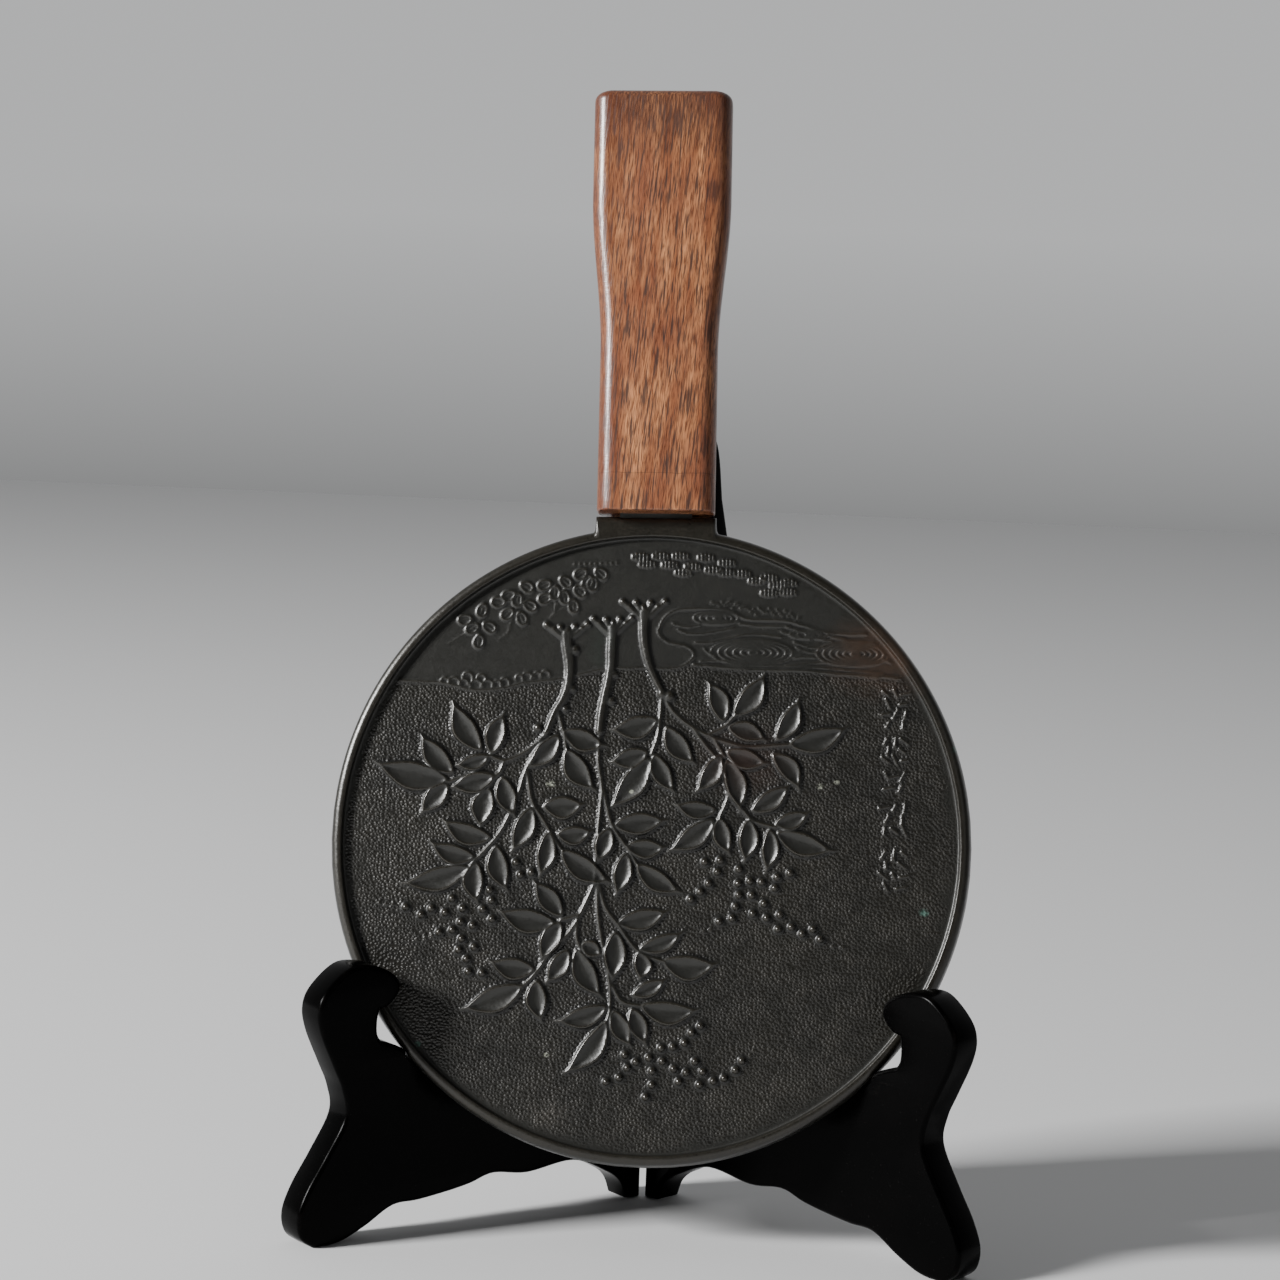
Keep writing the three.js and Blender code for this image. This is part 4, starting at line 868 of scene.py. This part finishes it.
def spline(start, points, steps=6):
    """A smooth run of outline points after a start point, shaped as the solid's own curves are."""
    p = np.vstack([start, points])
    out = []
    for i in range(len(p) - 1):
        a, b = p[i], p[i + 1]
        before = p[i - 1] if i > 0 else a
        after = p[i + 2] if i + 2 < len(p) else b
        into, away = (b - before) / 2, (after - a) / 2
        for k in range(1, steps + 1):
            t = k / steps
            out.append((2 * t ** 3 - 3 * t ** 2 + 1) * a + (t ** 3 - 2 * t ** 2 + t) * into
                       + (-2 * t ** 3 + 3 * t ** 2) * b + (t ** 3 - t ** 2) * away)
    return out


def panel_outline():
    """A panel's outline in millimetres, from its back edge outwards and up from the floor."""
    size = np.array([PANEL_REACH, PANEL_HEIGHT])
    seat = np.array([SEAT_REACH, SEAT_HEIGHT])
    outline = [np.array([PANEL_SETBACK, 0.0]), np.array([0.08, 0]) * size]

    def through(*points):
        outline.extend(spline(outline[-1], np.array(points)))

    def free(*points):
        return np.array(points) * size

    def seated(*points):
        return np.array(points) + seat

    through(*free((0.099, 0.023), (0.143, 0.04), (0.242, 0.061), (0.374, 0.054), (0.471, 0.06),
                  (0.536, 0.051), (0.601, 0.045), (0.68, 0.04), (0.749, 0.038), (0.818, 0.018),
                  (0.877, 0.004), (0.916, 0)))
    outline.append(np.array([0.958, 0]) * size)
    through(*free((0.991, 0.014), (1, 0.04), (0.977, 0.072), (0.932, 0.11), (0.883, 0.157), (0.891, 0.191),
                  (0.916, 0.221)),
            *seated((25.6, 10.2), (26.6, 15.7), (24.6, 20.3), (18.5, 25.1), (12.5, 25.2), (7.2, 23.1),
                    (4.9, 20.3), (5.6, 17.5), (8, 15.3), (10.2, 14.7)))
    through(*seated((10.7, 12.2), (10.6, 9.1), (9.6, 7.3)))
    through(*seated((6.5, 6.3), (3.5, 4.9), (0.8, 2.5), (-1.4, 0.4)))
    through(*free((0.606, 0.269), (0.532, 0.33), (0.466, 0.415), (0.419, 0.505), (0.38, 0.6), (0.366, 0.665),
                  (0.2985, 0.735), (0.225, 0.79), (0.1655, 0.84)))
    head, top = PANEL_SETBACK + UPRIGHT_WIDTH, PANEL_HEIGHT
    outline.append(np.array([head, 0.916 * top]))
    start = np.array([head - 0.1 * UPRIGHT_WIDTH, 0.955 * top])
    outline.append(start)
    controls = [start, (head - 0.2 * UPRIGHT_WIDTH, 0.99 * top), (head - 0.35 * UPRIGHT_WIDTH, top),
                (head - 0.55 * UPRIGHT_WIDTH, top)]
    for t in np.linspace(0, 1, 9)[1:]:
        weights = [(1 - t) ** 3, 3 * t * (1 - t) ** 2, 3 * t * t * (1 - t), t ** 3]
        outline.append(sum(w * np.array(c) for w, c in zip(weights, controls)))
    controls = [outline[-1], np.array([PANEL_SETBACK, top]), np.array([PANEL_SETBACK, 0.975 * top])]
    for t in np.linspace(0, 1, 7)[1:]:
        outline.append((1 - t) ** 2 * controls[0] + 2 * t * (1 - t) * controls[1] + t * t * controls[2])
    return outline


def panel(name, turn):
    """A lacquered panel with rounded edges, its barrels of the hinge, and room for the mirror."""
    curve = bpy.data.curves.new(name, "CURVE")
    curve.dimensions = "2D"
    curve.fill_mode = "BOTH"
    outline = panel_outline()
    line = curve.splines.new("POLY")
    line.points.add(len(outline) - 1)
    for place, (along, above) in zip(line.points, outline):
        place.co = (along, above, 0, 1)
    line.use_cyclic_u = True
    curve.extrude = PANEL_THICKNESS / 2 - PANEL_ROUNDING
    curve.bevel_depth = PANEL_ROUNDING
    curve.bevel_resolution = 3
    curve.offset = -PANEL_ROUNDING
    shape = link_object(name + "_curve", curve)
    bpy.context.view_layer.update()
    mesh = bpy.data.meshes.new_from_object(shape.evaluated_get(bpy.context.evaluated_depsgraph_get()))
    bpy.data.objects.remove(shape, do_unlink=True)
    work = bmesh.new()
    work.from_mesh(mesh)
    bmesh.ops.remove_doubles(work, verts=work.verts, dist=0.002)
    bmesh.ops.recalc_face_normals(work, faces=work.faces)
    work.to_mesh(mesh)
    work.free()
    mesh.name = name
    matrix = (Matrix.Scale(MM, 4) @ Matrix.Translation(HINGE) @ Matrix.Rotation(turn, 4, "Z")
              @ Matrix.Rotation(math.pi / 2, 4, "X"))
    mesh.transform(matrix)
    piece = link_object(name, mesh)
    for bottom in KNUCKLES[name.replace("_panel", "")]:
        boolean(piece, barrel(bottom, turn), "UNION")
    boolean(piece, cylinder("bore", PIN_RADIUS + FIT_GAP, -10, PANEL_HEIGHT + 10, 32), "DIFFERENCE")
    boolean(piece, disc_space(), "DIFFERENCE")
    boolean(piece, handle_space(), "DIFFERENCE")
    work = bmesh.new()
    work.from_mesh(piece.data)
    bmesh.ops.remove_doubles(work, verts=work.verts, dist=1e-6)
    work.to_mesh(piece.data)
    work.free()
    shade(piece, 40)
    return piece


def shade(piece, angle):
    """Smooth shading with sharp edges beyond an angle."""
    piece.data.polygons.foreach_set("use_smooth", [True] * len(piece.data.polygons))
    piece.data.set_sharp_from_angle(angle=math.radians(angle))


def drum(name, radius, depth, segments, place):
    """A closed cylinder, its middle at a place and its axis along Z there."""
    work = bmesh.new()
    bmesh.ops.create_cone(work, cap_ends=True, segments=segments, radius1=radius, radius2=radius, depth=depth)
    mesh = bpy.data.meshes.new(name)
    work.to_mesh(mesh)
    work.free()
    mesh.transform(place)
    return link_object(name, mesh)


def cylinder(name, radius, bottom, top, segments):
    """An upright cylinder on the hinge's axis."""
    middle = Matrix.Translation(HINGE + Vector((0, 0, (top + bottom) / 2)))
    return drum(name, radius, top - bottom, segments, Matrix.Scale(MM, 4) @ middle)


def barrel(bottom, turn):
    """One barrel of the hinge with its web."""
    piece = cylinder("barrel", KNUCKLE_RADIUS, bottom, bottom + KNUCKLE_LENGTH, 48)
    work = bmesh.new()
    bmesh.ops.create_cube(work, size=1.0)
    mesh = bpy.data.meshes.new("web")
    work.to_mesh(mesh)
    work.free()
    reach = PANEL_SETBACK + 1
    mesh.transform(Matrix.Diagonal((reach, KNUCKLE_RADIUS * 1.6, KNUCKLE_LENGTH, 1)))
    mesh.transform(Matrix.Translation((reach / 2, 0, bottom + KNUCKLE_LENGTH / 2)))
    mesh.transform(Matrix.Scale(MM, 4) @ Matrix.Translation(HINGE) @ Matrix.Rotation(turn, 4, "Z"))
    boolean(piece, link_object("web", mesh), "UNION")
    return piece


def disc_space():
    """The room that the disc needs in the stand."""
    middle = MIRROR @ Matrix.Translation((0, 0, RIM_THICKNESS / 2))
    return drum("disc_space", DISC_RADIUS + FIT_GAP, RIM_THICKNESS + 2 * FIT_GAP, 160, middle)


def handle_space():
    """The room that the handle needs in the stand."""
    half = HANDLE_END_WIDTH / 2 + FIT_GAP
    low, high = -HANDLE_PROUD_BACK - FIT_GAP, RIM_THICKNESS + HANDLE_PROUD_FRONT + FIT_GAP
    start, end = HANDLE_ROOM
    points = [(u, v, w) for w in (low, high)
              for u, v in ((-half, start), (half, start), (half, end), (-half, end))]
    return new_object("handle_space", points, BOX_FACES, MIRROR)


class Nodes:
    """Short ways to write a node tree."""

    def __init__(self, name):
        self.material = bpy.data.materials.new(name)
        self.material.use_nodes = True
        self.tree = self.material.node_tree
        self.shader = self.tree.nodes["Principled BSDF"]

    def add(self, kind, **settings):
        node = self.tree.nodes.new(kind)
        for key, value in settings.items():
            setattr(node, key, value)
        return node

    def fill(self, targets, values):
        """Links each value that is a socket to its input, and sets the others."""
        for target, value in zip(targets, values):
            if isinstance(value, bpy.types.NodeSocket):
                self.link(value, target)
            else:
                target.default_value = (*value, 1) if isinstance(value, tuple) else value

    def link(self, source, target):
        self.tree.links.new(source, target)
        return target

    def attribute(self, name):
        return self.add("ShaderNodeAttribute", attribute_name=name)

    def noise(self, coordinates, scale, detail=4.0, rough=0.55, distortion=0.0):
        node = self.add("ShaderNodeTexNoise")
        names = ("Vector", "Scale", "Detail", "Roughness", "Distortion")
        self.fill([node.inputs[name] for name in names], (coordinates, scale, detail, rough, distortion))
        return node.outputs["Fac"]

    def ramp(self, value, *stops):
        node = self.add("ShaderNodeValToRGB")
        elements = node.color_ramp.elements
        while len(elements) < len(stops):
            elements.new(0.5)
        for element, (place, colour) in zip(elements, stops):
            element.position = place
            element.color = (*colour, 1) if isinstance(colour, tuple) else (colour, colour, colour, 1)
        self.link(value, node.inputs["Fac"])
        return node.outputs["Color"]

    def mix(self, factor, one, two, blend="MIX"):
        node = self.add("ShaderNodeMix", data_type="RGBA", blend_type=blend)
        self.fill((node.inputs["Factor"], node.inputs[6], node.inputs[7]), (factor, one, two))
        return node.outputs[2]

    def math(self, operation, one, two=0.0, clamp=False):
        node = self.add("ShaderNodeMath", operation=operation, use_clamp=clamp)
        self.fill(node.inputs[:2], (one, two))
        return node.outputs[0]

    def times(self, one, two, clamp=False):
        return self.math("MULTIPLY", one, two, clamp)

    def put(self, name, value):
        """Gives the shader's own input a value, or links it."""
        self.fill([self.shader.inputs[name]], [value])

    def bump(self, height, strength, distance, normal=None):
        node = self.add("ShaderNodeBump")
        node.inputs["Strength"].default_value = strength
        node.inputs["Distance"].default_value = distance
        self.link(height, node.inputs["Height"])
        if normal is not None:
            self.link(normal, node.inputs["Normal"])
        return node.outputs["Normal"]

    def scaled(self, vector, scale):
        node = self.add("ShaderNodeMapping")
        node.inputs["Scale"].default_value = scale
        self.link(vector, node.inputs["Vector"])
        return node.outputs["Vector"]

    def spot(self, vector, u, v, wide, tall):
        """1 at a place on the mirror's face, falling to 0 around it."""
        node = self.add("ShaderNodeMapping")
        node.inputs["Location"].default_value = (-u / wide, -v / tall, 0)
        node.inputs["Scale"].default_value = (1 / wide, 1 / tall, 0)
        self.link(vector, node.inputs["Vector"])
        length = self.add("ShaderNodeVectorMath", operation="LENGTH")
        self.link(node.outputs["Vector"], length.inputs[0])
        return self.math("SUBTRACT", 1.0, length.outputs["Value"], clamp=True)


PALE = (0.24, 0.25, 0.20)
GREEN = (0.05, 0.105, 0.082)

# Spots of dirt and verdigris on the bronze: where, how large, which colour
SPOTS = [
    (-23.5, 13.5, 1.3, PALE), (-23.0, -49.5, 0.8, PALE), (39.6, 14.0, 1.0, PALE), (43.4, 15.0, 0.8, PALE),
    (71.2, 23.0, 1.5, GREEN), (-53.0, -47.6, 1.0, GREEN), (64.0, -15.0, 1.4, GREEN), (-4.5, 12.0, 0.7, PALE),
]


def bronze():
    """The dark patina of the casting, stippled where the ground is rough, with painted shade in its hollows and
    painted highlights on its crests.
    """
    n = Nodes("patinated_bronze")
    local = n.attribute("local").outputs["Vector"]
    stipple = n.attribute("stipple").outputs["Fac"]
    cavity = n.attribute("cavity").outputs["Fac"]
    broad = n.noise(local, 0.045, 5.0)
    cloudy = n.noise(local, 0.22, 6.0, 0.65)
    fine = n.noise(local, 1.6, 4.0, 0.6)
    colour = n.mix(n.ramp(broad, (0.35, 0.0), (0.7, 1.0)), (0.0060, 0.0054, 0.0034), (0.0108, 0.0096, 0.0060))
    colour = n.mix(n.ramp(cloudy, (0.45, 0.0), (0.75, 0.5)), colour, (0.020, 0.0165, 0.0105))
    smooth_ground = n.times(n.math("SUBTRACT", 1.0, stipple), n.ramp(cavity, (0.0, 1.0), (0.2, 0.0)))
    colour = n.mix(n.times(smooth_ground, 0.7), colour, (0.021, 0.0212, 0.0185))
    brown = n.spot(local, 54, 45, 17, 12)
    brown = n.times(brown, n.ramp(cloudy, (0.3, 0.3), (0.6, 1.3)), clamp=True)
    colour = n.mix(n.times(brown, 0.9), colour, (0.046, 0.025, 0.014))
    red = n.spot(local, 22, 20, 13, 10)
    colour = n.mix(n.times(red, 0.55), colour, (0.032, 0.0135, 0.009))
    # painted shade: recesses are darkened by their cavity, partly dark patina in the hollows and partly shade
    # painted into the colour
    low = n.ramp(n.math("ADD", cavity, 0.5), (0.36, 1.0), (0.5, 0.0))
    high = n.ramp(n.math("ADD", cavity, 0.5), (0.56, 0.0), (0.82, 1.0))
    colour = n.mix(n.times(low, 0.65), colour, (0.003, 0.0028, 0.0024))
    # painted highlight: raised crests and the rim's top are lightened, partly worn high points and partly a
    # highlight painted into the colour
    colour = n.mix(n.times(high, n.ramp(fine, (0.3, 0.15), (0.7, 0.6))), colour, (0.050, 0.044, 0.034))
    tint = n.times(n.spot(local, -12, 46, 4.5, 6), n.ramp(cloudy, (0.4, 0.0), (0.7, 0.6)), clamp=True)
    colour = n.mix(tint, colour, (0.024, 0.042, 0.030))
    for u, v, size, shade_of in SPOTS:
        spot = n.spot(local, u, v, size, size * 0.8)
        ragged = n.times(spot, n.ramp(fine, (0.4, 0.0), (0.55, 2.0)), clamp=True)
        colour = n.mix(ragged, colour, shade_of)
    dust = n.times(n.spot(local, -22, -63, 7, 4), n.ramp(fine, (0.4, 0.0), (0.7, 0.6)), clamp=True)
    colour = n.mix(dust, colour, (0.11, 0.10, 0.086))
    n.put("Base Color", colour)
    n.put("Metallic", 0.3)
    n.put("IOR", 1.68)
    rough = n.math("ADD", n.times(fine, 0.2), 0.24)
    rough = n.math("ADD", rough, n.times(cloudy, 0.08))
    rough = n.math("SUBTRACT", rough, n.times(high, 0.12), clamp=True)
    n.put("Roughness", rough)
    grains = n.add("ShaderNodeTexVoronoi", feature="SMOOTH_F1", voronoi_dimensions="2D")
    grains.inputs["Scale"].default_value = 1.0
    grains.inputs["Smoothness"].default_value = 0.2
    grains.inputs["Randomness"].default_value = 0.85
    n.link(n.scaled(local, (1.25, 1.4, 0.0)), grains.inputs["Vector"])
    height = n.times(n.ramp(grains.outputs["Distance"], (0.1, 1.0), (0.62, 0.0)), stipple)
    height = n.times(height, n.ramp(cloudy, (0.3, 0.55), (0.6, 1.0)))
    first = n.bump(height, 1.0, 0.00012)
    second = n.bump(fine, 0.35, 0.00008, first)
    third = n.bump(cloudy, 0.35, 0.0002, second)
    n.put("Normal", third)
    return n.material


def handle_wood():
    """Reddish brown open-pored wood, darker at its end, with painted shade along its sides."""
    n = Nodes("handle_wood")
    local = n.attribute("local").outputs["Vector"]
    slant = n.add("ShaderNodeMapping")
    slant.inputs["Rotation"].default_value = (0, 0, math.radians(4.5))
    n.link(local, slant.inputs["Vector"])
    grain = slant.outputs["Vector"]
    bands = n.noise(n.scaled(grain, (1.0, 0.12, 1.0)), 0.30, 3.0, 0.55, 0.4)
    patches = n.noise(n.scaled(grain, (1.0, 0.6, 1.0)), 0.09, 3.0, 0.6)
    streaks = n.noise(n.scaled(grain, (1.9, 0.12, 1.9)), 1.0, 3.0, 0.55, 0.2)
    hairs = n.noise(n.scaled(grain, (3.6, 0.22, 3.6)), 1.5, 2.0, 0.6)
    colour = n.mix(n.ramp(bands, (0.3, 0.0), (0.66, 1.0)), (0.225, 0.072, 0.030), (0.680, 0.300, 0.132))
    colour = n.mix(n.ramp(patches, (0.4, 0.0), (0.62, 0.7)), colour, (0.230, 0.078, 0.040))
    colour = n.mix(n.ramp(hairs, (0.38, 0.85), (0.58, 0.0)), colour, (0.090, 0.030, 0.017))
    pores = n.ramp(streaks, (0.39, 1.0), (0.49, 0.0))
    colour = n.mix(n.times(pores, 0.85), colour, (0.030, 0.013, 0.009))
    split = n.add("ShaderNodeSeparateXYZ")
    n.link(local, split.inputs[0])
    end = n.ramp(n.math("DIVIDE", n.math("SUBTRACT", split.outputs[1], 158.0), 20.0), (0.1, 0.0), (0.75, 1.0))
    colour = n.mix(n.times(end, n.ramp(hairs, (0.35, 0.95), (0.65, 0.5))), colour, (0.070, 0.030, 0.020))
    # painted shade: the colour darkens towards both rounded long sides of the handle
    side = n.math("SUBTRACT", n.math("ABSOLUTE", n.math("ADD", split.outputs[0], -1.0)), 9.0)
    side_shade = n.ramp(n.math("DIVIDE", side, 6.0), (0.0, 0.0), (0.75, 0.6))
    colour = n.mix(side_shade, colour, (0.085, 0.022, 0.010))
    crack = n.math("SUBTRACT", n.math("ADD", split.outputs[1], n.times(bands, 0.7)), 86.9)
    line = n.ramp(n.math("ABSOLUTE", crack), (0.0, 1.0), (0.14, 0.0))
    colour = n.mix(n.times(line, 0.55), colour, (0.02, 0.008, 0.005))
    n.put("Base Color", colour)
    rough = n.math("ADD", n.times(pores, 0.2), n.math("ADD", n.times(hairs, 0.2), 0.2), clamp=True)
    n.put("Roughness", rough)
    n.put("Coat Weight", 0.15)
    n.put("Coat Roughness", 0.2)
    ripples = n.noise(n.scaled(local, (0.5, 2.6, 0.5)), 0.9, 2.0, 0.5)
    first = n.bump(n.math("SUBTRACT", 1.0, pores), 0.15, 0.00012)
    second = n.bump(hairs, 0.15, 0.00008, first)
    n.put("Normal", n.bump(ripples, 0.3, 0.00008, second))
    return n.material


def lacquer():
    """Black lacquer, dusty and worn along its edges."""
    n = Nodes("black_lacquer")
    place = n.add("ShaderNodeTexCoord").outputs["Object"]
    waves = n.noise(place, 55.0, 3.0)
    scuffs = n.noise(place, 420.0, 5.0, 0.65)
    edge = n.add("ShaderNodeNewGeometry").outputs["Pointiness"]
    worn = n.times(n.ramp(edge, (0.53, 0.0), (0.6, 1.0)), n.ramp(scuffs, (0.48, 0.0), (0.66, 1.0)))
    colour = n.mix(n.ramp(waves, (0.4, 0.0), (0.7, 1.0)), (0.0004, 0.0004, 0.0004), (0.0009, 0.0008, 0.0008))
    colour = n.mix(n.times(worn, 0.6), colour, (0.030, 0.025, 0.021))
    dust = n.ramp(n.noise(place, 1600.0, 2.0), (0.7, 0.0), (0.76, 0.35))
    colour = n.mix(dust, colour, (0.016, 0.015, 0.014))
    n.put("Base Color", colour)
    rough = n.math("ADD", n.times(scuffs, 0.16), 0.15)
    n.put("Roughness", n.math("ADD", rough, n.times(worn, 0.25), clamp=True))
    n.put("IOR", 1.12)
    n.put("Normal", n.bump(waves, 0.25, 0.0005))
    return n.material


def pin_metal():
    """Dull brass."""
    n = Nodes("pin_metal")
    place = n.add("ShaderNodeTexCoord").outputs["Object"]
    spots = n.noise(place, 900.0, 4.0)
    colour = n.mix(n.ramp(spots, (0.35, 0.0), (0.65, 1.0)), (0.16, 0.11, 0.06), (0.3, 0.22, 0.12))
    n.put("Base Color", colour)
    n.put("Metallic", 1.0)
    n.put("Roughness", n.math("ADD", n.times(spots, 0.3), 0.3))
    return n.material


def floor_and_lights():
    """A pale floor, a studio that is bright behind the object and dim before it, and two soft lamps."""
    mesh = bpy.data.meshes.new("floor")
    mesh.from_pydata([(-3, -3, 0), (3, -3, 0), (3, 3, 0), (-3, 3, 0)], [], [(0, 1, 2, 3)])
    floor = link_object("floor", mesh)
    pale = bpy.data.materials.new("pale_floor")
    pale.use_nodes = True
    pale.node_tree.nodes["Principled BSDF"].inputs["Base Color"].default_value = (0.75, 0.75, 0.75, 1)
    pale.node_tree.nodes["Principled BSDF"].inputs["Roughness"].default_value = 0.85
    mesh.materials.append(pale)
    world = bpy.data.worlds.new("studio")
    world.use_nodes = True
    tree = world.node_tree
    directions = tree.nodes.new("ShaderNodeTexCoord")
    split = tree.nodes.new("ShaderNodeSeparateXYZ")
    shades = tree.nodes.new("ShaderNodeValToRGB")
    shades.color_ramp.elements[0].position = 0.35
    shades.color_ramp.elements[0].color = (0.03, 0.031, 0.033, 1)
    shades.color_ramp.elements[1].position = 0.85
    shades.color_ramp.elements[1].color = (0.55, 0.555, 0.56, 1)
    halved = tree.nodes.new("ShaderNodeMath")
    halved.operation = "MULTIPLY_ADD"
    halved.inputs[1].default_value = 0.5
    halved.inputs[2].default_value = 0.5
    tree.links.new(directions.outputs["Generated"], split.inputs[0])
    tree.links.new(split.outputs["Y"], halved.inputs[0])
    tree.links.new(halved.outputs[0], shades.inputs["Fac"])
    rising = tree.nodes.new("ShaderNodeMath")
    rising.operation = "MULTIPLY_ADD"
    rising.use_clamp = True
    rising.inputs[1].default_value = 6.0
    rising.inputs[2].default_value = 0.82
    tree.links.new(split.outputs["Z"], rising.inputs[0])
    tree.links.new(shades.outputs["Color"], tree.nodes["Background"].inputs["Color"])
    tree.links.new(rising.outputs[0], tree.nodes["Background"].inputs["Strength"])
    bpy.context.scene.world = world
    for name, place, aim, size, power in (
        ("key", (-1.9, -1.0, 1.06), (0, 0, 0.14), 0.45, 120.0),
        ("fill", (0.9, -1.1, 0.7), (0, 0, 0.12), 0.9, 0.8),
    ):
        light = bpy.data.lights.new(name, "AREA")
        light.shape = "SQUARE"
        light.size = size
        light.energy = power
        lamp = link_object(name, light)
        lamp.location = place
        lamp.rotation_euler = (Vector(aim) - Vector(place)).to_track_quat("-Z", "Y").to_euler()


# The camera, fitted for a hinge whose axis was at FITTED_HINGE
CAMERA_PLACE = Vector((36.8, -748.8, 214.1))
CAMERA_AIM = Vector((-4.02, 0.0, 140.6))
CAMERA_ROLL = 2.26
FOCAL_PIXELS = 3253.8
HALF_FRAME = 640
FITTED_HINGE = 39.4


def camera():
    """The photograph's view."""
    shift = Vector((0, HINGE.y - FITTED_HINGE, 0))
    data = bpy.data.cameras.new("camera")
    data.sensor_fit = "HORIZONTAL"
    data.angle = 2 * math.atan(HALF_FRAME / FOCAL_PIXELS)
    data.clip_start = 0.01
    eye = link_object("camera", data)
    facing = (CAMERA_AIM - CAMERA_PLACE).to_track_quat("-Z", "Y").to_matrix().to_4x4()
    eye.matrix_world = (Matrix.Translation((CAMERA_PLACE + shift) * MM) @ facing
                        @ Matrix.Rotation(math.radians(CAMERA_ROLL), 4, "Z"))
    bpy.context.scene.camera = eye


def dress(piece, material, node):
    """Gives a piece its material and ties it to what it stands for."""
    piece.data.materials.clear()
    piece.data.materials.append(material)
    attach(piece, "root")
    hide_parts(node)


camera()
floor_and_lights()
dress(casting(), bronze(), "mirror")
wooden = grip()
shade(wooden, 35)
dress(wooden, handle_wood(), "handle")
black = lacquer()
dress(panel("stand_left_panel", math.pi + math.radians(PANEL_ANGLE)), black, "stand_left")
dress(panel("stand_right_panel", -math.radians(PANEL_ANGLE)), black, "stand_right")
rod = cylinder("pin", PIN_RADIUS, *PIN_SPAN, 32)
rod.name = "hinge_rod"
shade(rod, 40)
dress(rod, pin_metal(), "hinge_pin")
